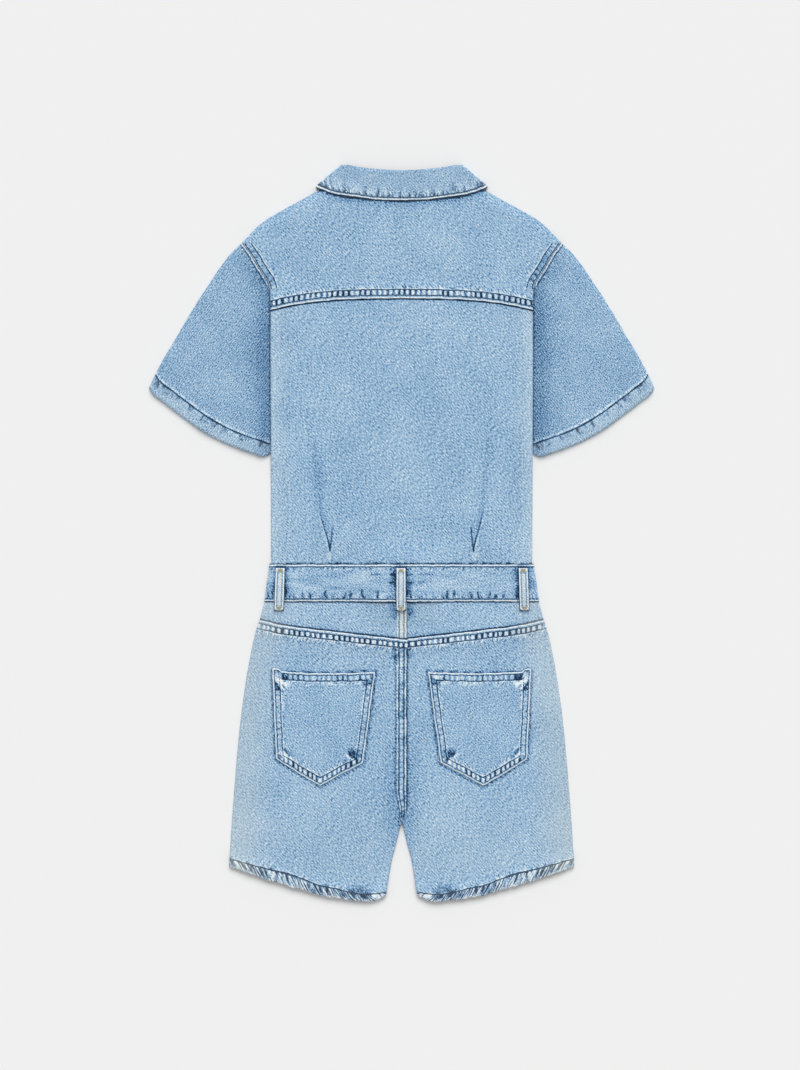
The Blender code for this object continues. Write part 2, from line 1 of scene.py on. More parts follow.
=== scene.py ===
import math
import bmesh
import bpy
import numpy as np
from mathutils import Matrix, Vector
from mathutils.bvhtree import BVHTree


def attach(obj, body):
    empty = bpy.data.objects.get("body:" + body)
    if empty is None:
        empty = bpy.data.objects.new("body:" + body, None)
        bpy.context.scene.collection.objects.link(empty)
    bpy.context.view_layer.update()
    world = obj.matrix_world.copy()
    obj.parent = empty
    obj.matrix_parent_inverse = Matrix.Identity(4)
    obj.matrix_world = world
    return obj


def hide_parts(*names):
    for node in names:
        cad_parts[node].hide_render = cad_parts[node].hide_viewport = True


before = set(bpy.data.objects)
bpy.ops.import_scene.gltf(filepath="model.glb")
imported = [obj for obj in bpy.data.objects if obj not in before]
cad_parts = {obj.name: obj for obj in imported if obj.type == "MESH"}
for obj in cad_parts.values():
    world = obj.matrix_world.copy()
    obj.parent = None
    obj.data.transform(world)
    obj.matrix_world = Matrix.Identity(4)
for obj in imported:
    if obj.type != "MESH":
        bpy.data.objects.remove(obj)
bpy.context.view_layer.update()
mm = 0.001

# lengths are in millimetres, from the middle of the garment: x outward from the centre line and
# y towards the collar, with the back side up
look = {
    "photoScale": 1.05,       # one pixel of the photo
    "shift": 0.6,             # the model's middle above the middle of these sizes
    "cloth": 0.8,             # thickness of the shells
    "edgeDrop": 1.25,         # how far a folded edge comes down
    "seamPitch": 5.8,         # spacing of the puckers along a topstitched seam
    "stitch": 2.7,            # stitch length
    "thread": 0.55,           # thread thickness
    "threadLift": 0.05,       # how far the thread lies off the cloth
}


def smooth(start, end, value):
    # 0 up to start, rising smoothly to 1 at end
    share = np.clip((np.asarray(value, float) - start) / (end - start), 0.0, 1.0)
    return share * share * (3.0 - 2.0 * share)


def fadeOut(start, end, value):
    # 1 up to start, falling smoothly to 0 at end
    return 1 - smooth(start, end, value)


def softLine(gap, width):
    # 1 on a line and fading off it; gap is the distance from it
    return np.exp(-(gap / width) ** 2)


def sideName(side):
    return "left" if side < 0 else "right"


def mix(first, second, share):
    return first + (second - first) * share


def along(table, at):
    # smooth curve through a two-column table, read at places in its first column
    rows = np.array(sorted(table), float)
    x, y = rows[:, 0], rows[:, 1]
    if len(x) < 3:
        return np.interp(at, x, y)
    slope = np.gradient(y, x)
    at = np.clip(np.asarray(at, float), x[0], x[-1])
    k = np.clip(np.searchsorted(x, at) - 1, 0, len(x) - 2)
    step = x[k + 1] - x[k]
    t = (at - x[k]) / step
    a = (1 + 2 * t) * (1 - t) ** 2 * y[k] + t * (1 - t) ** 2 * step * slope[k]
    return a + t * t * (3 - 2 * t) * y[k + 1] + t * t * (t - 1) * step * slope[k + 1]


def onPath(points, share):
    # places along a smooth path through points, by share of its length
    points = np.array(points, float)
    length = np.concatenate([[0], np.cumsum(np.hypot(*np.diff(points, axis=0).T))])
    length /= length[-1]
    share = np.clip(share, 0, 1)
    return along(list(zip(length, points[:, 0])), share), along(list(zip(length, points[:, 1])), share)


def noise(x, y, size, seed):
    # smooth value noise from -1 to 1 over a seeded lattice, size in millimetres
    cells = 128
    lattice = np.random.RandomState(seed).uniform(-1, 1, (cells, cells))
    u, v = np.asarray(x, float) / size, np.asarray(y, float) / size
    i, j = np.floor(u).astype(int), np.floor(v).astype(int)
    fu, fv = u - i, v - j
    fu, fv = fu * fu * (3 - 2 * fu), fv * fv * (3 - 2 * fv)
    i0, i1, j0, j1 = i % cells, (i + 1) % cells, j % cells, (j + 1) % cells
    low = mix(lattice[i0, j0], lattice[i1, j0], fu)
    high = mix(lattice[i0, j1], lattice[i1, j1], fu)
    return mix(low, high, fv)


def steps(*stretches):
    # places from the first start to the last end; each stretch is (start, end, spacing)
    places = [stretches[0][0]]
    for start, end, spacing in stretches:
        count = max(1, int(round(abs(end - start) / spacing)))
        places += [start + (end - start) * (k + 1) / count for k in range(count)]
    return np.array(places)


shoulderLine = ((359.8, 85.0), (352.8, 97.4), (346.5, 109.0), (340.2, 120.6), (333.9, 132.0), (327.6, 142.4),
                (321.3, 150.4), (315.0, 156.6), (308.7, 162.2), (303.5, 167.4))
bodySide = ((303.5, 167.4), (294.0, 160.6), (285.4, 155.0), (276.0, 149.6), (270.4, 146.2), (261.8, 140.4),
            (256.0, 138.6), (248.0, 138.0), (200.0, 137.8), (80.9, 137.3), (0.0, 137.0), (-24.0, 136.8),
            (-46.0, 135.6))
hipSide = ((-60.0, 139.4), (-72.0, 142.4), (-77.0, 144.6), (-88.2, 147.8), (-107.1, 153.8), (-132.3, 159.2),
           (-176.4, 166.4), (-218.4, 171.2), (-260.4, 174.8), (-302.4, 178.0), (-344.4, 180.6),
           (-352.0, 181.0))
innerLeg = ((-304.5, 0.2), (-312.0, 2.3), (-323.4, 5.0), (-344.4, 10.4), (-369.6, 14.6), (-388.0, 17.2))
yokeSeam = ((0.0, 245.1), (30.0, 244.8), (62.7, 243.8), (105.7, 239.5), (137.7, 232.7), (170.0, 224.0))
hipSeam = ((0.0, -113.2), (43.5, -108.2), (83.7, -103.4), (123.8, -98.1), (156.0, -91.0))
legEdge = ((14.0, -379.6), (16.5, -381.4), (23.0, -384.7), (36.0, -386.2), (46.1, -385.2), (62.7, -383.3),
           (80.5, -380.4), (97.3, -375.9), (118.5, -370.2), (140.4, -363.3), (159.3, -357.0), (181.2, -350.2))
# heights of the waistband's edges and of the crotch, and half the width of the centre seam
bandTop, bandBottom, crotch, seamHalf = -34.3, -72.5, -304.5, 4.9
sleeveHem = 16.0
# heights are read from a solid at places drawn in by this much, so that every ray meets it
insideBody, insideBand = 0.993, 0.985


def bodyHalf(y):
    return np.where(np.asarray(y) > 303.5, along(shoulderLine, y), along(bodySide, y))


def linear(hexColour):
    channels = [int(hexColour[k:k + 2], 16) / 255 for k in (0, 2, 4)]
    return tuple(c / 12.92 if c <= 0.04045 else ((c + 0.055) / 1.055) ** 2.4 for c in channels) + (1.0,)


def addNode(tree, kind, settings=None, links=None):
    # adds a node, sets its sockets and properties, and links sockets to other nodes' outputs
    node = tree.nodes.new(kind)
    for key, value in (settings or {}).items():
        if isinstance(key, str) and hasattr(node, key):
            setattr(node, key, value)
        else:
            node.inputs[key].default_value = value
    for key, output in (links or {}).items():
        tree.links.new(output, node.inputs[key])
    return node


# the blues of washed indigo cotton, from the dark of a fold to bare yarn
denimRamp = ((0.0, "17304b"), (0.16, "3c668f"), (0.34, "709cc5"), (0.5, "98bad7"), (0.66, "b7d1e5"),
             (0.84, "dbe8ef"), (1.0, "f7fbfb"))
denimLook = {                 # sizes in millimetres, tones as shares of the ramp
    "weave": 1.15,            # grain of the twill, drawn coarser than the real 0.7 mm so that it shows
    "fine": 0.8,              # single yarns, about 0.5 mm on real denim, drawn coarser so that they show
    "slub": 1.6,              # thick places in a yarn, 15 times as long as wide
    "mottle": 15.0,           # uneven dye, a thumb wide
    "wash": 70.0,             # broad bleaching from the wash, a palm wide
    "twill": 2.45,            # spacing of the diagonal ribs, drawn coarser than the real 0.8 mm
    "weaveTone": 0.66, "fineTone": 0.52, "slubTone": 0.14,       # how strongly each one shows
    "mottleTone": 0.045, "washTone": 0.04, "twillTone": 0.085,
    "sunBleached": "d2d8cf",  # worn, slightly yellow places
    "relief": 0.34,           # depth of the weave in the light
    "roughness": 0.93, "specular": 0.25,      # raw cotton scatters light almost evenly
    "sheen": 0.08, "sheenRoughness": 0.5,     # loose fibres catch a little light from the side
}


def makeDenim(name, grainLength=2.3, grainTurn=45.0, lighter=0.0, grain=1.0, crisp=1.0):
    # light washed denim with its topstitched seams; the grain is stretched and turned from the warp,
    # in degrees
    material = bpy.data.materials.new(name)
    material.use_nodes = True
    tree = material.node_tree
    shader = tree.nodes["Principled BSDF"]
    cloth = addNode(tree, "ShaderNodeUVMap", {"uv_map": "cloth"}).outputs["UV"]

    def calc(operation, *values):
        node = tree.nodes.new("ShaderNodeMath")
        node.operation = operation
        for socket, value in zip(node.inputs, values):
            if isinstance(value, (int, float)):
                socket.default_value = value
            else:
                tree.links.new(value, socket)
        return node.outputs[0]

    def add(first, *others):
        for other in others:
            first = calc("ADD", first, other)
        return first

    def times(first, *others):
        for other in others:
            first = calc("MULTIPLY", first, other)
        return first

    def rise(value, start, end, low=0.0, high=1.0):
        limits = {"interpolation_type": "SMOOTHSTEP", 1: start, 2: end, 3: low, 4: high}
        return addNode(tree, "ShaderNodeMapRange", limits, {0: value}).outputs[0]

    def window(value, start, end, soft):
        return times(rise(value, start - soft, start + soft), rise(value, end + soft, end - soft))

    def pattern(across, lengthwise, detail, seed, turn=0.0):
        # noise around zero; across and lengthwise are its cell in millimetres
        place = {"vector_type": "TEXTURE", "Scale": (across * mm, lengthwise * mm, 1),
                 "Rotation": (0, 0, math.radians(turn)), "Location": (seed * 0.1, seed * 0.07, 0)}
        scale = addNode(tree, "ShaderNodeMapping", place, {"Vector": cloth})
        cells = {"noise_dimensions": "2D", "Scale": 1.0, "Detail": detail, "Roughness": 0.6}
        texture = addNode(tree, "ShaderNodeTexNoise", cells, {"Vector": scale.outputs[0]})
        return calc("SUBTRACT", texture.outputs["Fac"], 0.5)

    def seamPattern(across, lengthwise, seed, lean=0.0):
        # the same, along and across a seam
        place = addNode(tree, "ShaderNodeCombineXYZ", None, {0: add(run, times(d, lean)), 1: d})
        scale = {"Scale": (1 / across, 1 / lengthwise, 1.0), "Location": (seed, seed, 0.0)}
        size = addNode(tree, "ShaderNodeMapping", scale, {"Vector": place.outputs[0]})
        cells = {"noise_dimensions": "2D", "Scale": 1.0, "Detail": 1.0}
        texture = addNode(tree, "ShaderNodeTexNoise", cells, {"Vector": size.outputs[0]})
        return calc("SUBTRACT", texture.outputs["Fac"], 0.5)

    def stored(label):
        kept = addNode(tree, "ShaderNodeAttribute", {"attribute_name": label}).outputs["Vector"]
        return addNode(tree, "ShaderNodeSeparateXYZ", None, {0: kept}).outputs

    across = denimLook["weave"] * grain
    weave = pattern(across, across * grainLength, 0.0, 3.1, grainTurn)
    fine = pattern(denimLook["fine"], denimLook["fine"] * 1.2, 1.0, 7.7)
    plain = addNode(tree, "ShaderNodeSeparateXYZ", None, {0: cloth})
    turned = add(times(plain.outputs[0], math.cos(math.radians(grainTurn))),
                 times(plain.outputs[1], math.sin(math.radians(grainTurn))))
    waver = pattern(2.6, 3.4, 1.0, 17.1)
    ribs = 2 * math.pi / (denimLook["twill"] * mix(1, grain, 0.5) * mm)
    twill = calc("COSINE", add(times(turned, ribs), times(waver, 7.0)))
    slub = pattern(denimLook["slub"], denimLook["slub"] * 15, 1.0, 12.3)
    mottle = pattern(denimLook["mottle"], denimLook["mottle"] * 1.3, 3.0, 20.9)
    wash = pattern(denimLook["wash"], denimLook["wash"], 2.0, 31.4)

    # seam: distance in from the folded edge (stitch rows at 3 and 9), run along it, and how bleached
    # the place is
    d, run, worn = stored("seam")
    ladder, single, rope = stored("seamKind")
    beyond = add(d, times(single, 6.0))
    double, notRope = calc("SUBTRACT", 1.0, single), calc("SUBTRACT", 1.0, rope)
    uneven = seamPattern(2.2, 2.2, 1.3)
    patchy = seamPattern(11.0, 30.0, 4.2)
    edge = times(window(d, 0.1, 1.1, 0.25), add(0.46, times(uneven, 0.8)))
    # dark past a folded edge, where the cloth turns down: painted shade on the turned-down side, with unfaded
    # indigo in the fold
    foldShadeAndIndigo = rise(d, -0.05, -0.4, 0.0, -1.0)
    dash = calc("COSINE", times(run, 2 * math.pi / look["stitch"]))
    firstRow = times(window(d, 2.5, 3.5, 0.3), notRope)
    secondRow = times(window(d, 8.5, 9.5, 0.3), double)
    rows = add(firstRow, secondRow)
    rowTone = times(rows, add(-0.70, times(dash, 0.30), times(uneven, 1.0)))
    narrow = times(single, 0.45)
    wave = calc("COSINE", times(run, 2 * math.pi / look["seamPitch"]))
    bow = calc("POWER", calc("DIVIDE", calc("SUBTRACT", d, 6.0), 3.0), 2.0)
    bent = calc("SUBTRACT", add(wave, times(uneven, 1.2)), times(bow, 0.5))
    between = times(window(d, 3.6, 8.4, 0.45), ladder)
    pads = times(rise(bent, -0.2, 0.6), add(0.26, times(patchy, 0.5)),
                 calc("SUBTRACT", 1.0, times(single, 0.75)))
    bars = times(rise(add(bent, narrow), -0.1, -0.85), add(-0.50, times(patchy, 1.8)),
                 rise(beyond, 16.0, 9.0))
    line = times(window(beyond, 9.9, 10.8, 0.3), double, 0.24)
    fade = times(rise(beyond, 9.6, 10.4), rise(beyond, 18.0, 10.5), add(0.35, times(ladder, 0.65)))
    fan = times(seamPattern(1.7, 6.0, 8.8, 0.45), fade)
    slanted = times(seamPattern(1.75, 12.0, 2.9, -0.62), 6.0)
    strokes = addNode(tree, "ShaderNodeClamp", {1: -1.0, 2: 1.0}, {0: slanted}).outputs[0]
    hem = times(window(d, -4.0, 8.6, 0.4), rope)
    strokeTone = add(times(calc("MAXIMUM", strokes, 0.0), 0.44),
                     times(calc("MINIMUM", strokes, 0.0), 0.74))
    seamTone = add(times(add(edge, foldShadeAndIndigo), notRope), rowTone, times(add(pads, bars), between), line,
                   times(fan, 1.5), times(strokeTone, hem))
    tone = addNode(tree, "ShaderNodeAttribute", {"attribute_name": "tone"}).outputs["Fac"]
    value = add(times(weave, denimLook["weaveTone"]), times(twill, denimLook["twillTone"]),
                times(fine, denimLook["fineTone"] * crisp), times(slub, denimLook["slubTone"]),
                times(mottle, denimLook["mottleTone"] * 2), times(wash, denimLook["washTone"] * 2),
                tone, seamTone, 0.5 + lighter)
    ramp = addNode(tree, "ShaderNodeValToRGB", None, {"Fac": value})
    band = ramp.color_ramp
    while len(band.elements) < len(denimRamp):
        band.elements.new(0.5)
    for element, (place, colour) in zip(band.elements, denimRamp):
        element.position = place
        element.color = linear(colour)
    bleached = addNode(tree, "ShaderNodeMixRGB", {"Color2": linear(denimLook["sunBleached"])},
                       {"Fac": worn, "Color1": ramp.outputs["Color"]})
    tree.links.new(bleached.outputs[0], shader.inputs["Base Color"])
    shader.inputs["Roughness"].default_value = denimLook["roughness"]
    shader.inputs["Specular IOR Level"].default_value = denimLook["specular"]
    shader.inputs["Sheen Weight"].default_value = denimLook["sheen"]
    shader.inputs["Sheen Roughness"].default_value = denimLook["sheenRoughness"]
    relief = add(times(weave, 1.3), times(fine, 0.9), times(between, wave, 0.5), times(rows, -0.8),
                 times(fan, 1.4), times(strokes, hem, 0.8))
    height = {"Strength": 0.6, "Distance": denimLook["relief"] * mm}
    bump = addNode(tree, "ShaderNodeBump", height, {"Height": relief})
    tree.links.new(bump.outputs[0], shader.inputs["Normal"])
    return material


def makePlain(name, colour, roughness, metallic=0.0):
    material = bpy.data.materials.new(name)
    material.use_nodes = True
    tree = material.node_tree
    shader = tree.nodes["Principled BSDF"]
    shader.inputs["Roughness"].default_value = roughness
    shader.inputs["Metallic"].default_value = metallic
    shader.inputs["Base Color"].default_value = linear(colour)
    return material


def treeOf(node):
    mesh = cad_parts[node].data
    mesh.calc_loop_triangles()
    spots = [v.co.copy() for v in mesh.vertices]
    return BVHTree.FromPolygons(spots, [tuple(t.vertices) for t in mesh.loop_triangles])


def blur(grid, reach):
    # mean over neighbours in both directions, edges kept
    for axis in (0, 1):
        for _ in range(2):
            wide = np.pad(grid, [(reach, reach) if a == axis else (0, 0) for a in (0, 1)], mode="edge")
            total = np.cumsum(wide, axis=axis)
            total = np.concatenate([np.zeros_like(np.take(total, [0], axis)), total], axis=axis)
            size = 2 * reach + 1
            count = grid.shape[axis]
            grid = (np.take(total, range(size, size + count), axis) - np.take(total, range(count),
                                                                              axis)) / size
    return grid


def nodeSurface(node, x, y, facing=1, reach=4):
    # height of a CAD node's upper (or lower) side under a grid of points, without its facets
    tree = treeOf(node)
    z = np.full(x.shape, np.nan)
    way = Vector((0, 0, -facing))
    for index in np.ndindex(x.shape):
        hit = tree.ray_cast(Vector((x[index] * mm, (y[index] + look["shift"]) * mm, facing * 0.1)), way)
        if hit[0] is not None:
            z[index] = hit[0].z / mm
    for row in z:
        good = ~np.isnan(row)
        if good.any():
            row[:] = np.interp(np.arange(len(row)), np.nonzero(good)[0], row[good])
    for column in z.T:
        good = ~np.isnan(column)
        column[:] = np.interp(np.arange(len(column)), np.nonzero(good)[0], column[good])
    return blur(z, reach)


surfaces = {}


def noSeam(x):
    # what the denim reads at each point: distance from a seam's edge, run along it, bleached share,
    # and its kind
    seam = {key: np.zeros(x.shape) for key in ("d", "run", "worn", "ladder", "single", "rope")}
    seam["d"] += 60.0
    return seam


def makeSheet(name, x, y, z, tone, material, seam, ring=False, facing=1, thick=None, clothUV=None):
    # a mesh from grids of points in millimetres, thickened towards its back
    rows, columns = x.shape
    spots = np.stack([x, y + look["shift"], z], axis=-1).reshape(-1, 3) * mm
    index = np.arange(rows * columns).reshape(rows, columns)
    right = np.roll(index, -1, axis=1) if ring else index[:, 1:]
    left = index if ring else index[:, :-1]
    quads = np.stack([left[:-1], left[1:], right[1:], right[:-1]], axis=-1).reshape(-1, 4)
    wide = left.shape[1]
    # a place on the upper leaf tells which way the faces point
    upper = quads[(rows - 1) // 2 * wide + int(wide * (0.3 if ring else 0.5))]
    a, b, c = (spots[upper[k]] for k in (0, 1, 2))
    if np.cross(b - a, c - a)[2] * facing < 0:
        quads = quads[:, ::-1]
    mesh = bpy.data.meshes.new(name)
    mesh.vertices.add(len(spots))
    mesh.vertices.foreach_set("co", spots.astype(np.float32).ravel())
    mesh.loops.add(quads.size)
    mesh.loops.foreach_set("vertex_index", quads.astype(np.int32).ravel())
    mesh.polygons.add(len(quads))
    mesh.polygons.foreach_set("loop_start", np.arange(0, quads.size, 4, dtype=np.int32))
    mesh.update(calc_edges=True)
    mesh.shade_smooth()
    layer = mesh.uv_layers.new(name="cloth")
    uv = np.stack(clothUV or (x, y), axis=-1).reshape(-1, 2) * mm
    layer.data.foreach_set("uv", uv[quads.ravel()].astype(np.float32).ravel())
    attribute = mesh.attributes.new("tone", "FLOAT", "POINT")
    attribute.data.foreach_set("value", np.asarray(tone, np.float32).ravel())
    for label, parts in (("seam", ("d", "run", "worn")), ("seamKind", ("ladder", "single", "rope"))):
        attribute = mesh.attributes.new(label, "FLOAT_VECTOR", "POINT")
        values = np.stack([np.broadcast_to(seam[part], x.shape) for part in parts], axis=-1)
        attribute.data.foreach_set("vector", values.astype(np.float32).ravel())
    mesh.materials.append(material)
    piece = bpy.data.objects.new(name, mesh)
    bpy.context.scene.collection.objects.link(piece)
    surfaces[name] = BVHTree.FromPolygons([Vector(s) for s in spots],
                                          [tuple(int(k) for k in q) for q in quads])
    shell = piece.modifiers.new("thickness", "SOLIDIFY")
    shell.thickness = (thick or look["cloth"]) * mm
    shell.offset = -1.0
    shell.use_rim = True
    return piece


def closeRing(grid, low, skip):
    # an upper leaf and, back the other way and coarser, the lower leaf of a flat tube
    return np.hstack([grid, low[:, ::skip][:, ::-1]])


def addWings(grid, left, right):
    # a middle leaf with a leaf folded under at each end
    return np.hstack([left[:, ::-1], grid, right])


def joinWings(x, y, z, wings):
    (leftX, leftY, leftZ), (rightX, rightY, rightZ) = wings[-1], wings[1]
    return addWings(x, -leftX, rightX), addWings(y, leftY, rightY), addWings(z, leftZ, rightZ)


def declare(piece, node):
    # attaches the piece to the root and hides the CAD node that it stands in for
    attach(piece, "root")
    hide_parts(node)


def drop(d, high=None):
    # height lost past a folded edge, for d below zero
    high = high or look["edgeDrop"]
    return high * smooth(0.15, -1.25, d)


def addSeam(seam, z, d, run, rows=(3.0, 9.0), ladder=1.0, rope=0.0, relief=0.22, seed=1, high=None,
            shown=None):
    # a topstitched seam: d runs in from the folded edge and run along it; with one row it is a plain
    # turned edge
    run = run + 1.5 * noise(run, run * 0 + seed * 3.3, 8.0, seed)
    d = d + 0.28 * noise(run, run * 0, 4.5, seed + 7)
    if len(rows) == 2:
        mapped = np.interp(d, [-5, 0, rows[0], rows[1], rows[1] + 60], [-5, 0, 3, 9, 69])
    else:
        inner = max(1.25, rows[0] - 1)
        mapped = np.interp(d, [-5, 0, 1.2, inner, rows[0], rows[0] + 60], [-5, 0, 1.2, 2.0, 3, 63])
    if shown is not None:
        mapped = np.where(shown > 0.5, mapped, 60.0)
    closer = mapped < seam["d"]
    for key, value in (("d", mapped), ("run", run), ("ladder", ladder), ("single", 2.0 - len(rows)),
                       ("rope", rope)):
        seam[key] = np.where(closer, value, seam[key])
    wave = np.cos(2 * np.pi * run / look["seamPitch"])
    inside = smooth(3.2, 4.4, mapped) * fadeOut(7.6, 8.8, mapped)
    z += np.where(closer, relief * ladder * inside * wave, 0.0)
    fan = noise(run + 0.5 * mapped, mapped * 0.3, 3.0, seed + 3)
    start = 9.6 if len(rows) == 2 else 3.6
    z += np.where(closer,
                  0.12 * fan * smooth(start, start + 1, mapped) * fadeOut(start + 1, start + 9, mapped), 0)
    z -= np.where(closer, drop(mapped, high), 0.0)


def distanceTo(path, x, y):
    # distance of each point from a path, and the run along it
    spots = np.array(path, float)
    length = np.concatenate([[0], np.cumsum(np.hypot(*np.diff(spots, axis=0).T))])
    fineRun = np.arange(0, length[-1], 0.8)
    px, py = np.interp(fineRun, length, spots[:, 0]), np.interp(fineRun, length, spots[:, 1])
    gaps = np.hypot(x.ravel()[:, None] - px, y.ravel()[:, None] - py)
    near = gaps.argmin(axis=1)
    return gaps.min(axis=1).reshape(x.shape), fineRun[near].reshape(x.shape)


def puckers(run, d, row, deep, pitch, seed, lean=0.25, thick=1.0):
    # short pulled marks reaching from a stitch row into the cloth, unevenly spaced
    place = run + 0.0 * d
    spare = 300    # marks that may lie before the start of the run
    cell = np.floor(place / pitch).astype(int) + spare
    rng = np.random.default_rng(seed)
    shift, wide, strong, tall = (rng.uniform(-1, 1, 2 * spare + 100) for _ in range(4))
    offset = place - (cell - spare + 0.5 + 0.32 * shift[cell]) * pitch
    away = d - row
    reach = deep * (0.75 + 0.35 * tall[cell])
    half = thick * (1.2 + 0.4 * wide[cell]) * (1.15 - 0.5 * np.clip(away / reach, 0, 1))
    mark = softLine(offset - lean * shift[cell] * away, half)
    return (mark * smooth(-0.3, 0.5, away) * fadeOut(reach * 0.55, reach, away)
            * np.clip(0.65 + 0.6 * strong[cell], 0, 1))


def sideRoll(z, tone, inset, high=1.2, width=1.3, shade=0.12):
    # a rounded side, where front and back meet
    z -= high * fadeOut(0.0, width, inset) ** 2
    tone += shade * fadeOut(0.2, 2.2, inset)


print("frame and helpers ready")

# cotton denim, woven as a twill and washed light: a matt cloth with a diagonal grain, darker in its folds,
# where the colour holds painted shade as well as unfaded indigo.
# The sleeves' grain is finer and runs with the yarn, and band, collar and pockets have a shorter one
denimBody = makeDenim("light_washed_denim")
# steel, pressed and plated: a grey metal with a soft mirror
buttonMetal = makePlain("pressed_metal_button", "8c8880", 0.35, 1.0)
denimSleeve = makeDenim("light_washed_denim_sleeve", grainLength=2.1, grainTurn=0.0, grain=0.86,
                        crisp=1.7)
denimTrim = makeDenim("light_washed_denim_trim", grainLength=1.7)
denimLoop = makeDenim("light_washed_denim_loop", grainLength=1.2, lighter=0.08)

shoulderSeam = ((167.4, 303.5), (160.6, 294.0), (155.0, 285.4), (149.6, 276.0), (146.2, 270.4), (140.4, 261.8),
                (138.6, 256.0), (138.0, 248.0))


def backYoke():
    size = {"flat": (342, 160), "neck": 352.0, "rise": 6.5, "armRows": (1.9, 7.6)}
    share = np.linspace(-1, 1, 201)
    bottom = along(yokeSeam, np.abs(share) * 137.7)
    top = size["neck"] + size["rise"] * share ** 2
    down = steps((0, 1.0, 0.0135))[:-1, None]
    y = np.vstack([mix(top, bottom + 15.6, down), bottom + steps((15.6, -1.3, 0.6))[:, None]])
    half = bodyHalf(np.maximum(y, 225.0))
    x = share * half
    z = nodeSurface("back_yoke", x * insideBody, np.maximum(y, bottom + 1.2))
    z += 0.18 * noise(x, y, 34.0, 5)
    tone = 0.03 * noise(x, y, 26.0, 3)
    seam = noSeam(x)
    addSeam(seam, z, y - bottom, x, seed=11)
    away, run = distanceTo(shoulderSeam, np.abs(x), y)
    arm = smooth(306.0, 300.0, y) * smooth(252.0, 257.0, y)
    addSeam(seam, z, away + 0.3, run, rows=size["armRows"], ladder=0.28, seed=13, relief=0.1, shown=arm)
    tone -= arm * (0.07 + 0.12 * noise(x, y, 5.0, 14)) * smooth(1.8, 2.6, away) * fadeOut(6.4, 7.4, away)
    inset = half - np.abs(x)
    sideRoll(z, tone, inset, shade=0.03)
    under = along(neckShade, np.abs(x)) - y
    tone -= (np.abs(x) < 88) * (0.55 * fadeOut(0.3, 1.8, under) + 0.12 * fadeOut(1.5, 9.0, under))
    piece = makeSheet("yoke_back", x, y, z, tone, denimBody, seam)
    declare(piece, "back_yoke")


# where the collar's shadow ends on the yoke
neckShade = ((0.0, 346.4), (40.0, 349.0), (71.0, 353.6), (90.0, 360.6))
# the stitched fold in the back, from its tack above the waistband up (height, distance from the centre)
foldLine = ((-34.3, 74.6), (-20.4, 75.3), (-8.4, 77.6), (5.0, 81.6), (16.0, 84.6), (40.0, 86.8), (60.0, 88.6),
            (100.0, 94.0), (150.0, 101.5))
foldShort = ((-20.4, 75.3), (-8.0, 73.6), (4.6, 72.7))


def bodiceBack():
    size = {"flat": (290, 310), "foldRise": 0.7, "tack": (75.3, -25.0), "underBand": 8.0}
    side = steps((0, 0.49, 0.014), (0.49, 0.66, 0.0046), (0.66, 1, 0.013))
    share = np.concatenate([-side[:0:-1], side])
    seamLine = along(yokeSeam, np.abs(share) * 137.7)
    y = np.vstack([seamLine + steps((9.0, -6.0, 0.8))[:, None],
                   mix(seamLine - 6.0, 34.0, steps((0, 1, 0.0128))[1:, None]),
                   steps((34.0, bandTop + 14.0, 1.0))[1:, None] + 0 * share,
                   bandTop + steps((14.0, -size["underBand"], 0.8))[1:, None] + 0 * share])
    half = bodyHalf(y)
    x = share * half
    z = nodeSurface("bodice_back", x * insideBody, y)
    z += 0.22 * noise(x, y, 42.0, 15) + 0.10 * noise(x, y, 13.0, 16)
    tone = 0.03 * noise(x, y, 30.0, 13)
    seam = noSeam(x)
    offset = np.abs(x) - along(foldLine, np.clip(y, -34, 150))
    crisp = smooth(-22.0, -18.0, y) * fadeOut(10.0, 32.0, y)
    soft = smooth(-10.0, 8.0, y) * fadeOut(50.0, 150.0, y)
    # the fold: painted shade along its line, broader and fainter painted shade above it where it fades out,
    # and a pale line on its raised side
    tone -= crisp * softLine(offset + 0.3, 0.85 - 0.008 * (y + 20)) * (0.66 - 0.008 * (y + 20))
    tone += crisp * softLine(offset - 1.6, 0.9) * 0.16
    tone -= soft * softLine(offset + 0.5, 5.5) * 0.10
    z += size["foldRise"] * crisp * smooth(-1.2, 0.2, offset) * fadeOut(0.5, 12.0, offset)
    short = np.abs(x) - along(foldShort, np.clip(y, -20.4, 4.6))
    shortShown = smooth(-22.0, -18.0, y) * fadeOut(1.0, 8.0, y)
    # painted shade along the fold's short line
    tone -= shortShown * softLine(short, 0.75) * 0.55
    tackX, tackY = size["tack"]
    tack = np.hypot(np.abs(x) - tackX, (y - tackY) * 0.8)
    tone += 0.16 * fadeOut(1.0, 6.5, tack) - 0.35 * softLine(np.abs(x) - 72.0, 1.2) * fadeOut(1, 6, tack)
    near = fadeOut(1.0, 9.0, y - bandTop)
    # darker along the waistband's top edge: painted shadow under the band, with indigo in the gathers
    tone -= 0.55 * fadeOut(0.8, 3.2, y - bandTop) * (0.7 + 0.7 * noise(x, y * 0, 3.6, 17))
    # a dark line just below the yoke's edge: painted shadow of the edge, with indigo in the seam
    tone -= 0.62 * smooth(-2.4, -1.2, y - seamLine) * (0.85 + 0.3 * noise(x, y * 0, 5.0, 19))
    tone += near * 0.16 * noise(x + 0.4 * y, y * 0.3, 2.6, 18)
    z += near * 0.2 * noise(x, y * 0.2, 3.6, 18)
    inset = half - np.abs(x)
    sideRoll(z, tone, inset, shade=0.06)
    tone += 0.07 * fadeOut(2.0, 16.0, inset)
    seam["worn"] = 0.08 * fadeOut(4.0, 30.0, inset)
    piece = makeSheet("bodice_back_cloth", x, y, z, tone, denimBody, seam)
    declare(piece, "bodice_back")


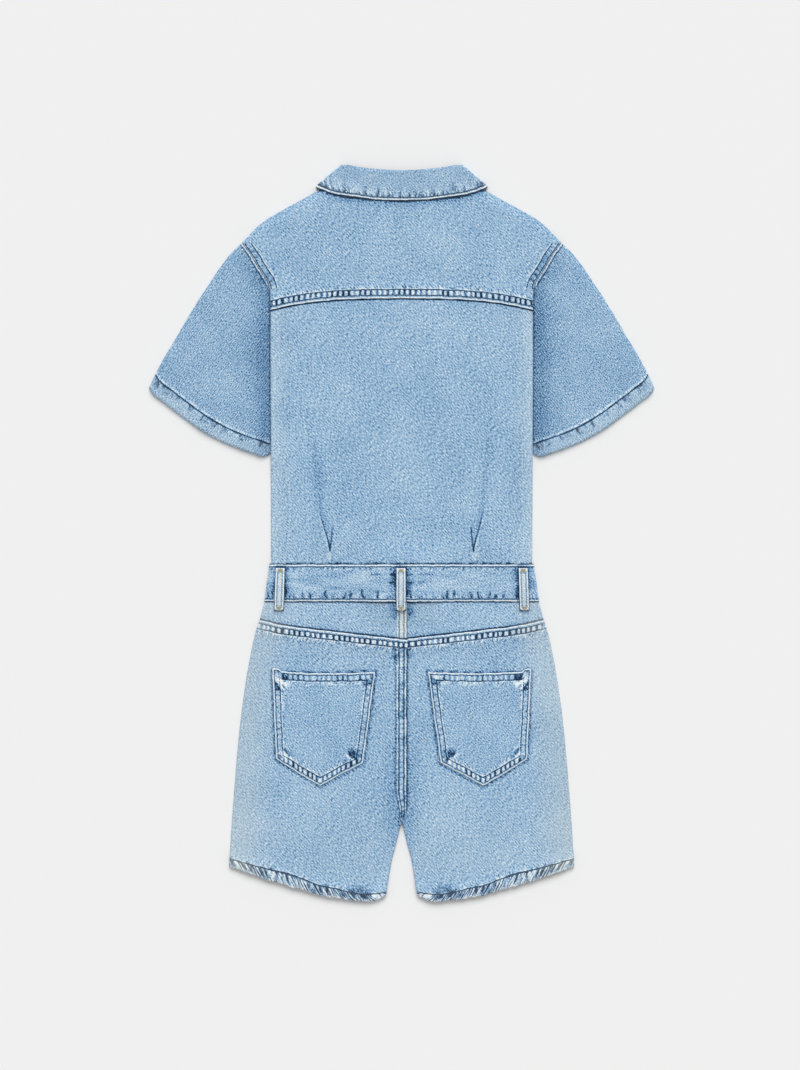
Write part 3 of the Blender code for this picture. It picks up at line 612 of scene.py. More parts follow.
# stitch line of the leg hems (distance from the centre, height)
hemLine = ((14.0, -377.4), (17.2, -378.0), (54.8, -377.3), (66.2, -374.3), (88.4, -369.6), (111.8, -360.9),
           (142.7, -352.9), (180.8, -342.5))


hipRows = (3.0, 8.4)    # the rows of thread below the V of the hip seam
lapRows, lapPast = (2.5, 7.6), 1.3    # the centre seam: its rows, and how far the left side laps past them


def innerEdge(y, side):
    # inner side of a back leg: over the centre seam above the crotch, the leg's own edge below it
    over = -(seamHalf + lapPast if side < 0 else seamHalf) * smooth(crotch - 2.0, crotch + 16.0, y)
    return np.where(y > crotch, over + 0.2, along(innerLeg, y))


def hipYoke(side):
    name = sideName(side)
    size = {"flat": (162, 62), "under": 9.0, "bandShadow": 0.50, "seamShadow": 0.60}
    share = steps((0, 0.12, 0.0045), (0.12, 1, 0.0095))
    bottom = along(hipSeam, share * 150.0) - size["under"]
    y = mix(bandBottom + 8.0 + 0 * share, bottom, steps((0, 1, 0.0155))[:, None])
    inner = -seamHalf - lapPast if side < 0 else -seamHalf
    reach = mix(inner, along(hipSide, y), share)
    x = side * reach
    z = nodeSurface("shorts_yoke_" + name, side * np.clip(reach, -3.6, None) * insideBody, y, reach=3)
    z += 0.15 * noise(x, y, 30.0, 25)
    tone = 0.03 * noise(x, y, 26.0, 23)
    seam = noSeam(x)
    if side < 0:
        lapped = reach + seamHalf
        addSeam(seam, z, lapped, y, rows=lapRows, ladder=0.1, seed=27, relief=0.05)
        strip = fadeOut(8.0, 9.4, lapped)
        tone += 0.13 * strip + 0.20 * strip * smooth(3.2, 4.0, lapped) * fadeOut(6.4, 7.2, lapped)
        seam["worn"] += 0.32 * strip
    blot = 0.8 + 0.5 * noise(x, y, 6.0, 26)
    tone -= (0.40 * blot * fadeOut(6.0, 17.0, np.abs(reach)) * smooth(4.0, 6.0, np.abs(reach))
             * smooth(-96.0, -82.0, y))
    tone -= size["bandShadow"] * fadeOut(0.6, 2.2, bandBottom - y)
    past = y - bottom - size["under"]
    tone -= size["seamShadow"] * fadeOut(1.2, 2.3, past) + 0.05 * fadeOut(2.0, 7.0, past) - 0.03
    inset = along(hipSide, y) - reach
    sideRoll(z, tone, inset)
    seam["worn"] = np.maximum(seam["worn"], 0.20 * fadeOut(4.0, 40.0, inset))
    piece = makeSheet("hip_yoke_" + name, x, y, z, tone, denimBody, seam)
    declare(piece, "shorts_yoke_" + name)


def backLeg(side):
    name = sideName(side)
    size = {"flat": (200, 310), "rowsHeight": 9.0, "hemRise": 0.35, "pocketShadow": 0.50}
    share = steps((0, 0.08, 0.0045), (0.08, 1, 0.0088))
    top = along(hipSeam, share * 150.0)
    low = along(legEdge, mix(14.5, 181.2, share))
    y = np.vstack([top + steps((1.3, -17.0, 0.6))[:, None],
                   mix(top - 17.0, low + 18.0, steps((0, 1, 0.0084))[1:, None]),
                   low + steps((18.0, -1.0, 0.66))[1:, None]])
    outer = along(hipSide, np.clip(y, -352.0, -60.0))
    inner = innerEdge(y, side)
    reach = mix(inner, outer, share)
    x = side * reach
    z = nodeSurface("leg_back_" + name, side * mix(inner + 1.0, outer - 1.0, share),
                    np.clip(y, low + 0.8, top - 0.8), reach=3)
    z += 0.28 * noise(x, y, 48.0, 37) + 0.10 * noise(x, y, 15.0, 38)
    tone = 0.03 * noise(x, y, 34.0, 33)
    seam = noSeam(x)
    addSeam(seam, z, top - y, x, rows=hipRows, ladder=1.25, seed=35 + side)
    if side < 0:
        gather = 1.0 + 0.9 * fadeOut(crotch, crotch + 34.0, y)
        lapEdge = -(seamHalf + lapPast) * smooth(crotch - 30.0, crotch + 20.0, y)
        strip = (reach - lapEdge - 1.5) * gather
        shown = smooth(crotch - 3.0, crotch + 1.0, y) * (y < top - 9.5)
        addSeam(seam, z, strip, y, rows=lapRows, ladder=0.25, seed=41, relief=0.1, shown=shown)
        band = shown * fadeOut(8.0, 9.4, strip)
        blotch = smooth(0.0, 0.6, noise(strip * 0.6, y, 8.0, 49))
        tone += band * (0.16 * smooth(3.2, 4.0, strip) * fadeOut(6.4, 7.2, strip) - 0.24 * blotch)
        tone -= shown * 0.30 * softLine(strip - 11.2, 0.9)
    else:
        # painted shadow on the right leg beside the left leg's lapped edge
        tone -= 0.25 * fadeOut(5.6, 8.6, reach) * smooth(crotch + 12.0, crotch + 24.0, y)
    fleck = 0.7 + 0.7 * noise(x, y, 4.5, 42)
    patch = fadeOut(5.0, 15.0, np.abs(reach)) * smooth(-140.0, -128.0, y) * fadeOut(-124.0, -119.0, y)
    tone -= 0.30 * patch * fleck
    # darker near the centre around the crotch, and in the crotch's corner: painted shade
    tone -= 0.11 * fadeOut(5.0, 30.0, np.abs(reach)) * smooth(-180.0, -250.0, y) * smooth(-345.0, -300.0, y)
    tone -= 0.12 * fadeOut(0.5, 5.0, np.hypot(reach, (y - crotch - 3.0) * 0.4))
    beside, _ = distanceTo(pocketOutline, reach, y)
    tone -= size["pocketShadow"] * softLine(beside, 0.8)
    hemHeight = along(hemLine, reach) - along(legEdge, reach)
    rise = (y - low) / hemHeight * size["rowsHeight"]
    addSeam(seam, z, np.where(rise < 30, rise, 60), reach, ladder=0.35, rope=1.0, seed=43, high=0.01)
    hem = fadeOut(8.0, 9.5, rise)
    lump = noise(reach - 0.62 * rise, rise * 0.2, 2.7, 45 + side)
    z += hem * size["hemRise"] * lump
    tone -= hem * 0.30 * smooth(0.05, 0.6, noise(reach, rise * 0.3, 12.0, 47)) - hem * 0.03
    corner = np.hypot(reach - 46.0, (y + 378.0) * 1.5)
    tone -= 0.36 * fadeOut(5.0, 18.0, corner) * (0.8 + 0.5 * noise(x, y, 3.0, 48))
    z -= smooth(1.2, -1.0, y - low) ** 1.5
    tone += 0.40 * fadeOut(0.0, 1.8, y - low) - 0.46 * softLine(rise - 9.6, 1.0) * (0.6 + 1.2 * lump)
    y = y + np.where(y - low < 2.0, 0.9 * lump, 0.0)
    inset = outer - reach
    sideRoll(z, tone, inset)
    below = smooth(crotch + 4.0, crotch - 6.0, y)
    z -= below * 1.2 * fadeOut(0.0, 1.3, reach - inner) ** 2
    outerWorn = 0.26 * fadeOut(4.0, 48.0, inset) + 0.06 * smooth(-240.0, -330.0, y)
    seam["worn"] = outerWorn * smooth(10.0, 16.0, reach)
    piece = makeSheet("leg_back_cloth_" + name, x, y, z, tone, denimBody, seam)
    declare(piece, "leg_back_" + name)


pocketOutline = ((26.2, -145.4), (80.0, -147.2), (127.0, -146.4), (128.6, -144.0), (136.9, -144.0),
                 (132.8, -238.9), (85.4, -268.0), (39.3, -243.3), (26.2, -145.4))


def pocket(side):
    name = sideName(side)
    size = {"innerTop": (26.6, -145.9), "outerTop": (136.6, -144.9), "innerLow": (39.9, -242.8),
            "outerLow": (132.2, -238.6), "tip": (85.4, -267.2), "margin": 1.1,
            "flat": (124, 140), "thick": 0.7}
    (innerTop, highIn), (outerTop, highOut) = size["innerTop"], size["outerTop"]
    (innerLow, lowIn), (outerLow, lowOut), (tip, lowTip) = size["innerLow"], size["outerLow"], size["tip"]
    share = steps((0, 1, 0.0102))
    tipShare = (tip - innerLow) / (outerLow - innerLow)
    near = np.minimum(1, np.where(share < tipShare, share / tipShare, (1 - share) / (1 - tipShare)))
    foot = mix(mix(lowIn, lowOut, share), lowTip, near)
    top = (mix(highIn, highOut, share) - 1.8 * np.sin(np.pi * share)
           + 0.5 * noise(share * 110, share * 0, 9.0, 52))
    top += 2.6 * smooth(0.905, 0.93, share) * (1 - 0.5 * smooth(0.975, 1.0, share))
    y = mix(top, foot, steps((0, 1, 0.0098))[:, None])
    sink = np.clip((y - highIn) / (lowIn - highIn), 0, 1)
    left, right = mix(innerTop, innerLow, sink), mix(outerTop, outerLow, sink)
    reach = mix(left, right, share)
    x = side * reach
    z = nodeSurface("pocket_" + name, side * mix(left + 1.5, right - 1.5, share),
                    np.clip(y, foot + 1.5, top - 4.0), reach=3)
    z += 0.12 * noise(x, y, 26.0, 63)
    tone = -0.005 + 0.03 * noise(x, y, 22.0, 53)
    seam = noSeam(x)
    slopeIn = math.cos(math.atan2(lowIn - lowTip, tip - innerLow))
    slopeOut = math.cos(math.atan2(lowOut - lowTip, outerLow - tip))
    footGap = (y - foot) * np.where(reach < tip, slopeIn, slopeOut) - size["margin"]
    sideGap = np.minimum(reach - left, right - reach) - size["margin"]
    topGap = top - y - size["margin"]
    addSeam(seam, z, sideGap, y, rows=(2.0, 7.0), ladder=0.30, seed=57 + side, relief=0.1)
    addSeam(seam, z, footGap, x * 1.15, rows=(2.0, 7.2), ladder=0.95, seed=58 + side, relief=0.15)
    addSeam(seam, z, topGap, x, rows=(2.0, 8.0), ladder=0.55, seed=59 + side, relief=0.12)
    edge = np.minimum(np.minimum(sideGap, footGap), topGap)
    z -= drop(edge)
    tone += 0.05 * fadeOut(6.5, 8.0, edge)
    corners = (((outerTop - 9.0, highOut - 12.0), 0.46, 14.0), ((innerTop + 9.0, highIn - 12.0), 0.40, 12.0),
               ((innerLow + 11.0, lowIn + 7.0), 0.34, 12.0), ((outerLow - 10.0, lowOut + 6.0), 0.30, 11.0))
    streak = noise(reach - 0.7 * y, y * 0.35 + reach * 0.2, 3.2, 61)
    for (cx, cy), deep, wide in corners:
        gap = np.hypot(reach - cx, y - cy)
        tone -= deep * (0.6 + 2.3 * streak) * fadeOut(wide * 0.2, wide, gap) * smooth(0.5, 2.0, edge)
    line = topGap - 11.5 - noise(reach, y * 0, 7.0, 64)
    tone += (0.30 * softLine(line, 0.9) * smooth(-0.2, 0.5, noise(reach, y * 0, 9.0, 65))
             * smooth(8.0, 12.0, sideGap))
    tone -= 0.22 * puckers(reach, topGap, 8.6, 5.0, 7.0, 66) * smooth(6.0, 10.0, sideGap)
    pull = noise(reach * 0.25 + y * 0.1, y, 3.0, 62) * fadeOut(0.0, 30.0, reach - left)
    tone += 0.12 * pull * smooth(9.0, 12.0, topGap) * fadeOut(14.0, 30.0, topGap)
    piece = makeSheet("pocket_cloth_" + name, x, y, z, tone, denimTrim, seam, thick=size["thick"])
    declare(piece, "pocket_" + name)


armhole = shoulderSeam[:-1] + ((138.0, 244.0), (137.8, 200.0), (137.5, 140.0), (137.3, 84.5))
sleeveFold = ((167.4, 303.5), (181.3, 289.8), (190.8, 277.2), (199.2, 264.6), (207.6, 252.0),
              (223.3, 226.8), (238.0, 201.6), (250.6, 180.6), (258.6, 165.0), (265.2, 151.4))
sleeveEdge = ((265.8, 149.6), (263.8, 144.6), (248.6, 131.8), (231.4, 119.2), (214.2, 107.3), (194.2, 96.2),
              (172.6, 87.4), (156.2, 82.0), (145.5, 78.8), (140.0, 81.0), (137.0, 86.8))


def sleeve(side):
    name = sideName(side)
    size = {"flat": (440, 150), "thick": 0.7, "underSkip": 3, "grainTurn": 38.0, "armRow": 2.1}
    across = steps((0.0, 0.03, 0.004), (0.03, 0.985, 0.0092), (0.985, 1.0, 0.004))
    down = steps((0.0, 0.84, 0.0135), (0.84, 1.0, 0.0058))
    rootX, rootY = onPath(armhole, across)
    rootX, rootY = rootX - 7.0 * smooth(0.0, 0.03, across), rootY + 3.0 * fadeOut(0.0, 0.25, across)
    edgeX, edgeY = onPath(sleeveEdge, 0.012 + 0.988 * across)
    foldX, foldY = onPath(sleeveFold, down)
    outX, outY = foldX - mix(rootX[0], edgeX[0], down), foldY - mix(rootY[0], edgeY[0], down)
    wide = (1 - across) ** 1.6
    reach = mix(rootX, edgeX, down[:, None]) + outX[:, None] * wide
    y = mix(rootY, edgeY, down[:, None]) + outY[:, None] * wide
    x = side * reach
    top = nodeSurface("sleeve_" + name, side * mix(reach, 185.0, 0.035), mix(y, 180.0, 0.035), reach=3)
    top = np.maximum(top, 2.2)
    length = np.hypot(edgeX - rootX, edgeY - rootY)
    d = (1 - down[:, None]) * length
    run = across * 175.0 + 0 * d
    seam = noSeam(x)
    addSeam(seam, top, d, run, rows=(sleeveHem,), ladder=0.22, seed=71 + side, relief=0.12, high=0.01)
    seam["d"] = np.where(d < 3.0, np.maximum(seam["d"], 1.4), seam["d"])    # no pale rim on the turned hem
    arm, armRun = distanceTo(armhole, reach, y)
    away = np.where(reach > bodyHalf(y), arm, -arm)
    upper = smooth(254.0, 262.0, y)
    addSeam(seam, top, away - 0.5, armRun, rows=(size["armRow"],), ladder=0.1, seed=74, relief=0.0,
            high=0.01, shown=upper)
    tone = -0.035 + 0.035 * noise(x, y, 26.0, 73)
    # darker next to the body: painted shade where the sleeve runs under the bodice's edge, with less faded
    # cloth by the armhole; below the armhole seam, a painted shadow line along that edge
    tone -= 0.15 * fadeOut(1.0, 24.0, away) * smooth(300.0, 262.0, y)
    tone -= 0.05 * fadeOut(10.0, 50.0, away) * smooth(280.0, 200.0, y)
    tone -= 0.25 * (1 - upper) * fadeOut(0.2, 2.2, away)
    band = fadeOut(sleeveHem - 1.5, sleeveHem, d)
    blot = smooth(-0.05, 0.45, noise(run - 0.3 * d, d * 0.25, 5.0, 77 + side))
    tone -= 0.26 * band * blot * smooth(5.0, 12.0, d) * (0.8 + 0.9 * noise(x, y, 2.4, 78))
    tone -= 0.50 * puckers(run, sleeveHem - d, 0.6, 9.0, 11.0, 82 + side, 0.5)
    tone += 0.07 * band
    tone -= 0.45 * softLine(d - sleeveHem, 0.9) * (0.7 + 0.8 * noise(run, run * 0, 7.0, 80))
    seam["worn"] = 0.10 * band
    tone += 0.42 * softLine(d - sleeveHem - 2.1, 0.8) * (0.8 + 0.4 * noise(run, run * 0, 5.0, 76))
    top += 0.25 * band * noise(run - 0.4 * d, d * 0.4, 6.0, 79)
    tone += 0.10 * fadeOut(0.2, 1.6, d) - 0.06 * softLine(d - 2.6, 0.7)
    top += 0.45 * noise(away * 0.5, y + 0.5 * away, 24.0, 81) * smooth(4.0, 20.0, away)
    top -= (top - 1.5) * fadeOut(0.0, 1.8, d) ** 1.5
    top -= (top - 1.2) * 0.85 * fadeOut(0.0, 3.0, across * 215.0) ** 2
    floor = blur(np.where(away < 4.0, 1.35, 0.05) + 0 * top, 3)
    spread = 0.25 * fadeOut(0.0, 4.0, d)
    skip = size["underSkip"]
    for key in seam:
        seam[key] = closeRing(seam[key], seam[key], skip)
    ringX = closeRing(x, x + side * spread * 0.5, skip)
    ringY = closeRing(y, y - spread * 0.85, skip)
    turn = math.radians(side * size["grainTurn"])
    uv = (ringX * math.cos(turn) + ringY * math.sin(turn), ringY * math.cos(turn) - ringX * math.sin(turn))
    piece = makeSheet("sleeve_cloth_" + name, ringX, ringY, closeRing(top, floor, skip),
                      closeRing(tone, tone * 0.5, skip), denimSleeve, seam, ring=True, thick=size["thick"],
                      clothUV=uv)
    declare(piece, "sleeve_" + name)


bandRows = (2.2, 2.25)    # the rows of thread, in from the waistband's upper and lower edge
# the belt loops: name, distance from the centre and lean in their length
loops = (("left", -127.9, -1.5), ("centre", -0.7, 0.0), ("right", 127.9, 1.5))


def bandHalf(y):
    return mix(138.8, 144.0, (bandTop - y) / (bandTop - bandBottom))


def waistband():
    size = {"flat": (590, 40.5), "thick": 0.9, "underSkip": 2, "edgeDrop": 1.6}
    share = np.linspace(-1, 1, 321)
    y = steps((bandTop + 1.0, bandBottom - 1.0, 0.88))[:, None] + 0 * share
    x = share * bandHalf(y)
    inside = np.clip(y, bandBottom + 1.0, bandTop - 1.0)
    z = nodeSurface("waistband", x * insideBand, inside, reach=3)
    z += 0.16 * noise(x, y, 20.0, 99)
    tone = 0.02 + 0.045 * noise(x, y, 18.0, 91)
    seam = noSeam(x)
    down, up = bandTop - y, y - bandBottom
    addSeam(seam, z, down, x, rows=bandRows[:1], ladder=0.35, seed=93, relief=0.1, high=size["edgeDrop"])
    addSeam(seam, z, up, x, rows=bandRows[1:], ladder=0.45, seed=95, relief=0.15,
            high=size["edgeDrop"])
    spot = puckers(x, up, 3.2, 12.5, 7.2, 94, 0.4, 1.25)
    tone -= 0.56 * spot - 0.18 * puckers(x + 3.6, up, 3.0, 8.0, 7.2, 90)
    tone -= 0.30 * puckers(x, down, 3.0, 4.5, 9.5, 89)
    z -= 0.3 * spot
    tone += 0.11 * noise(x * 0.18, y, 4.2, 96) * smooth(6.0, 11.0, down) * smooth(7.0, 12.0, up)
    for low, reachOut in ((10.0, 44.0), (18.5, 30.0)):
        near = fadeOut(reachOut * 0.6, reachOut, np.abs(x + 0.7))
        line = down - low - 0.8 * noise(x, x * 0, 14.0, 98)
        tone -= 0.34 * near * softLine(line, 0.95) * (0.7 + 1.2 * noise(x, y * 0, 5.0, 92))
    for _, middle, _ in loops:
        beside = np.abs(x - middle)
        blot = 0.75 + 0.6 * noise(x, y * 0.5, 4.5, 97)
        outer = smooth(3.0, 5.0, (x - middle) * np.sign(middle)) * (np.abs(middle) > 5)
        tone -= (0.38 * (1 - 0.7 * outer) * blot * fadeOut(7.0, 14.0, beside) * smooth(2.0, 5.0, down)
                 * smooth(2.0, 5.0, up))
        # painted shadow of each loop on the band beside it, with some indigo
        tone -= 0.30 * (1 - 0.5 * outer) * fadeOut(5.4, 8.0, beside)
    sideRoll(z, tone, bandHalf(y) - np.abs(x), high=2.6, width=2.6)
    lower = nodeSurface("waistband", x * insideBand, inside, facing=-1, reach=2)
    lower += 1.5 * fadeOut(0.0, 2.6, bandHalf(y) - np.abs(x)) ** 2
    skip = size["underSkip"]
    for key in seam:
        seam[key] = closeRing(seam[key], seam[key], skip)
    ringX, ringY = closeRing(x, x, skip), closeRing(y, y, skip)
    piece = makeSheet("waistband_cloth", ringX, ringY, closeRing(z, lower, skip),
                      closeRing(tone, 0 * tone, skip), denimTrim, seam, ring=True, thick=size["thick"],
                      clothUV=(ringY, ringX))
    declare(piece, "waistband")


def beltLoop(name, middle, lean):
    size = {"half": 4.7, "top": -38.0, "bottom": -82.0, "margin": 0.6, "flat": (12.6, 48.0), "thick": 0.8}
    half, margin = size["half"], size["margin"]
    across = steps((-half - margin, half + margin, 0.4))
    down = steps((size["top"] + margin, size["bottom"] - margin, 0.6))[:, None]
    share = (size["top"] - down) / (size["top"] - size["bottom"])
    x = middle + lean * (share - 0.5) + across
    y = down + 0 * across
    z = nodeSurface("belt_loop_" + name, np.clip(x, middle - 4.0, middle + 4.0),
                    np.clip(y, size["bottom"] + 1.5, size["top"] - 1.5), reach=2) + 0.2
    tone = 0.02 + 0.05 * noise(x, y, 6.0, 103)
    seam = noSeam(x)
    sides, ends = half - np.abs(across) + 0 * down, np.minimum(size["top"] - y, y - size["bottom"])
    addSeam(seam, z, sides, y, rows=(30.0,), ladder=0.0, seed=104, relief=0.0)
    corner = 3.0 - np.hypot(np.clip(3.0 - sides, 0, None), np.clip(size["bottom"] + 3.0 - y, 0, None))
    edge = np.minimum(np.minimum(sides, ends), corner)
    z -= 1.5 * smooth(0.4, -0.5, edge)
    # darker where the loop's edge turns down: painted shade, with indigo in the turn
    tone -= 0.9 * smooth(0.1, -0.4, edge)
    dots = np.cos(2 * np.pi * y / 2.1)
    tone -= (0.52 - 0.28 * dots) * softLine(np.abs(across) - 2.4, 0.6) * smooth(2.5, 3.5, ends)
    tone += 0.10 * fadeOut(1.6, 2.2, np.abs(across))
    tone += 0.24 * smooth(0.2, 0.8, ends) * fadeOut(1.6, 2.2, ends) * (sides > 0)
    tone -= 0.30 * softLine(ends - 5.0, 0.8) * smooth(0.5, 1.5, sides)
    seam["worn"] += 0.22 * smooth(0.0, 1.0, edge)
    piece = makeSheet("loop_cloth_" + name, x, y, z, tone, denimLoop, seam, thick=size["thick"])
    declare(piece, "belt_loop_" + name)


collarFree = ((0.0, 347.6), (30.0, 348.8), (40.6, 350.3), (56.0, 352.4), (71.1, 354.9), (80.0, 357.9),
              (89.3, 361.8))


def collarFall():
    # one strip round the neck: the back leaf between the side folds, then each front leaf below it
    size = {"flat": (380, 48), "thick": 0.8, "row": 2.1, "foldCorner": 61.6, "corner": 88.9,
            "frontFold": (5.0, 328.0), "frontPoint": (60.0, 288.0), "side": 1.8}
    fold = ((0.0, 378.9), (0.25, 379.5), (0.5, 380.8), (0.75, 382.8), (0.93, 384.6), (1.0, 384.4))
    place = np.linspace(-1, 1, 171)
    reach = np.abs(place)
    topX, topY = size["foldCorner"] * place, along(fold, reach)
    lowX, lowY = size["corner"] * place, along(collarFree, size["corner"] * reach)
    down = steps((0.0, 0.62, 0.022), (0.62, 1.0, 0.0155))[:, None]
    x, y = mix(topX, lowX, down), mix(topY, lowY, down)
    extra = steps((-0.3, -1.3, 0.5))[:, None]
    x, y = np.vstack([x, lowX + 0 * extra]), np.vstack([y, lowY + extra])
    d = y - lowY
    z = nodeSurface("collar_fall", x * insideBand, np.clip(y, lowY + 1.2, topY - 1.2), reach=3)
    z += 0.12 * noise(x, y, 22.0, 119)
    tone = 0.005 + 0.04 * noise(x, y, 15.0, 113)
    seam = noSeam(x)
    seam["worn"] += 0.08
    addSeam(seam, z, d, x, rows=(size["row"],), ladder=0.6, seed=115, relief=0.14)
    wave = noise(x, d * 0.05, 3.4, 116)
    fade = smooth(3.8, 5.0, d) * fadeOut(6.0, 17.0, d)
    tone += 0.19 * wave * fade - 0.045 - 0.55 * puckers(x, d, 2.4, 8.0, 3.9, 118, 0.12, 0.75)
    tone += 0.24 * puckers(x + 1.9, d, 2.8, 10.0, 3.9, 117, 0.12, 0.75) + 0.01
    z += 0.3 * wave * fade
    top = topY - y
    z -= 2.6 * fadeOut(0.0, 3.0, top) ** 2
    tone -= 0.08 * fadeOut(0.0, 5.0, top)
    # side fold and front leaf
    length = np.hypot(lowX[-1] - topX[-1], lowY[-1] - topY[-1])
    outX, outY = -(lowY[-1] - topY[-1]) / length, (lowX[-1] - topX[-1]) / length
    sideHigh, sideLow = z[:, -1], np.full(len(z), 0.1)
    middle, radius = (sideHigh + sideLow) / 2, (sideHigh - sideLow) / 2
    wings = {}
    turns, leaf = np.radians([60, 30, 0, -30, -60, -90]), np.linspace(0, 1, 25)[1:]
    downAll = np.concatenate([down[:, 0], 1 - 0.015 * extra[:, 0]])[:, None]
    for side in (-1, 1):
        turnX = np.abs(x[:, -1:]) + outX * size["side"] * np.cos(turns)
        turnY = y[:, -1:] + outY * size["side"] * np.cos(turns)
        turnZ = middle[:, None] + radius[:, None] * np.sin(turns)
        frontTop = mix(np.array([[topX[-1], topY[-1]]]), np.array([size["frontFold"]]), leaf[:, None])
        frontLow = mix(np.array([[lowX[-1], lowY[-1]]]), np.array([size["frontPoint"]]), leaf[:, None])
        leafX = mix(frontTop[:, 0], frontLow[:, 0], downAll)
        leafY = mix(frontTop[:, 1], frontLow[:, 1], downAll)
        wings[side] = [np.hstack([turnX, leafX]), np.hstack([turnY, leafY]),
                       np.hstack([turnZ, 0.1 + 0 * leafX])]
    x, y, z = joinWings(x, y, z, wings)
    blank = 0 * wings[1][0]
    tone = addWings(tone, blank, blank)
    for key in seam:
        held = seam[key]
        seam[key] = addWings(held, blank + held[:, :1], blank + held[:, -1:])
    z = np.maximum(z, 0.1)
    piece = makeSheet("collar_cloth", x, y, z, tone, denimTrim, seam, thick=size["thick"], clothUV=(y, x))
    declare(piece, "collar_fall")


# front, the side that lies on the table
def neckFront(reach):
    return 358.5 - 52.0 * (1 - np.clip(np.abs(reach) / 85.0, 0, 1) ** 2)


def bodiceFront(side):
    name = sideName(side)
    size = {"flat": (176, 420), "lap": 14.0}
    lap = size["lap"]
    share = steps((0, 0.1, 0.008), (0.1, 1, 0.02))
    top = neckFront(mix(-lap, 85.0, share))
    y = mix(top, bandTop - 8.0, steps((0, 0.04, 0.004), (0.04, 1, 0.0125))[:, None])
    half = bodyHalf(y)
    reach = mix(-lap, half, share)
    x = side * reach
    z = nodeSurface("front_" + name, side * np.clip(reach, -lap + 1.0, half - 1.5),
                    np.clip(y, -42.0, top - 1.0), facing=-1)
    z = np.maximum(z + 0.25 * np.abs(noise(x, y, 40.0, 121 + side)), 0.05)
    tone = -0.01 + 0.04 * noise(x, y, 30.0, 123)
    seam, lift = noSeam(x), np.zeros(x.shape)
    addSeam(seam, lift, reach + lap, y, rows=(3.0, 25.0), ladder=0.0, seed=125)
    addSeam(seam, lift, top - y, x, rows=(2.4,), ladder=0.4, seed=127)
    sideRoll(lift, tone, half - reach, high=0.0)
    piece = makeSheet("front_cloth_" + name, x, y, np.maximum(z - lift, 0.05), tone, denimBody, seam,
                      facing=-1)
    declare(piece, "front_" + name)


def frontLeg(side):
    name = sideName(side)
    size = {"flat": (205, 330), "lap": 14.0, "rowsHeight": 9.0}
    share = steps((0, 0.12, 0.008), (0.12, 1, 0.018))
    low = along(legEdge, mix(14.5, 181.2, share)) - 0.9
    y = np.vstack([mix(bandBottom + 8.0, low + 16.0, steps((0, 1, 0.0125))[:, None]),
                   low + steps((16.0, 0.0, 0.8))[1:, None]])
    half = along(hipSide, np.clip(y, -352.0, -60.0))
    lap = mix(seamHalf, size["lap"], smooth(-245.0, -185.0, y)) * smooth(crotch + 1.0, crotch + 26.0, y)
    inner = np.where(y > crotch, 0.4 - lap * smooth(crotch, crotch + 24.0, y), along(innerLeg, y))
    reach = mix(inner, half, share)
    x = side * reach
    z = nodeSurface("leg_front_" + name, side * mix(inner + 1.0, half - 1.5, share),
                    np.clip(y, low + 2.5, -66.0), facing=-1)
    z = np.maximum(z + 0.25 * np.abs(noise(x, y, 40.0, 131 + side)), 0.05)
    tone = -0.01 + 0.04 * noise(x, y, 30.0, 133)
    seam, lift = noSeam(x), np.zeros(x.shape)
    addSeam(seam, lift, reach - inner, y, ladder=0.2, seed=135)
    rise = (y - low) / (along(hemLine, reach) - along(legEdge, reach)) * size["rowsHeight"]
    addSeam(seam, lift, np.where(rise < 30, rise, 60), reach, ladder=0.35, rope=1.0, seed=137)
    lump = noise(reach - 0.62 * rise, rise * 0.2, 2.6, 139 + side)
    y = y + np.where(y - low < 2.0, 0.8 * lump, 0.0)
    tone += 0.45 * fadeOut(0.5, 3.0, y - low)
    sideRoll(lift, tone, half - reach, high=0.0)
    piece = makeSheet("leg_front_cloth_" + name, x, y, np.maximum(z - lift, 0.05), tone, denimBody, seam,
                      facing=-1)
    declare(piece, "leg_front_" + name)


def collarStand():
    # the band inside the collar: back leaf, side folds and front leaves, like the fall over it
    size = {"flat": (330, 40), "thick": 0.7, "foldCorner": (61.4, 383.1), "foldCentre": 378.7, "inset": 3.0,
            "foot": 79.0, "frontFold": (5.0, 328.0), "turn": (1.9, 1.2)}
    inset, foot = size["inset"], size["foot"]
    down = steps((0.0, 1.0, 0.06))[:, None]
    place = np.linspace(-1, 1, 81)
    topX = (size["foldCorner"][0] - inset) * place
    topY = size["foldCentre"] + 4.4 * place ** 2 - inset
    lowX = foot * place
    x, y = mix(topX, lowX, down), mix(topY, 352.3 + 6.5 * (lowX / 85.0) ** 2, down)
    z = nodeSurface("collar_stand", x * insideBand, y, reach=2)
    leaf = np.linspace(0, 1, 25)[1:]
    (cornerX, cornerY), (foldX, foldY) = size["foldCorner"], size["frontFold"]
    footX = mix(foot, foldX, leaf)
    frontX = mix(mix(cornerX, foldX, leaf) - inset * (1 - leaf), footX, down)
    frontY = mix(mix(cornerY, foldY, leaf) - inset, neckFront(footX) + 1.3, down)
    wings = {}
    for side in (-1, 1):
        low = nodeSurface("collar_stand", side * frontX * insideBand, frontY, facing=-1, reach=2)
        high = z[:, :1] if side < 0 else z[:, -1:]
        middle, radius = (high + low[:, :1]) / 2, (high - low[:, :1]) / 2
        angle = np.radians([60, 30, 0, -30, -60])
        turnX = x[:, -1:] + size["turn"][0] * np.cos(angle)
        turnY = y[:, -1:] + size["turn"][1] * np.cos(angle)
        wings[side] = (np.hstack([turnX, frontX]), np.hstack([turnY, frontY]),
                       np.hstack([middle + radius * np.sin(angle), low]))
    x, y, z = joinWings(x, y, z, wings)
    tone = -0.02 + 0.04 * noise(x, y, 15.0, 143)
    piece = makeSheet("collar_stand_cloth", x, y, z, tone, denimTrim, noSeam(x), thick=size["thick"],
                      clothUV=(y, x))
    declare(piece, "collar_stand")


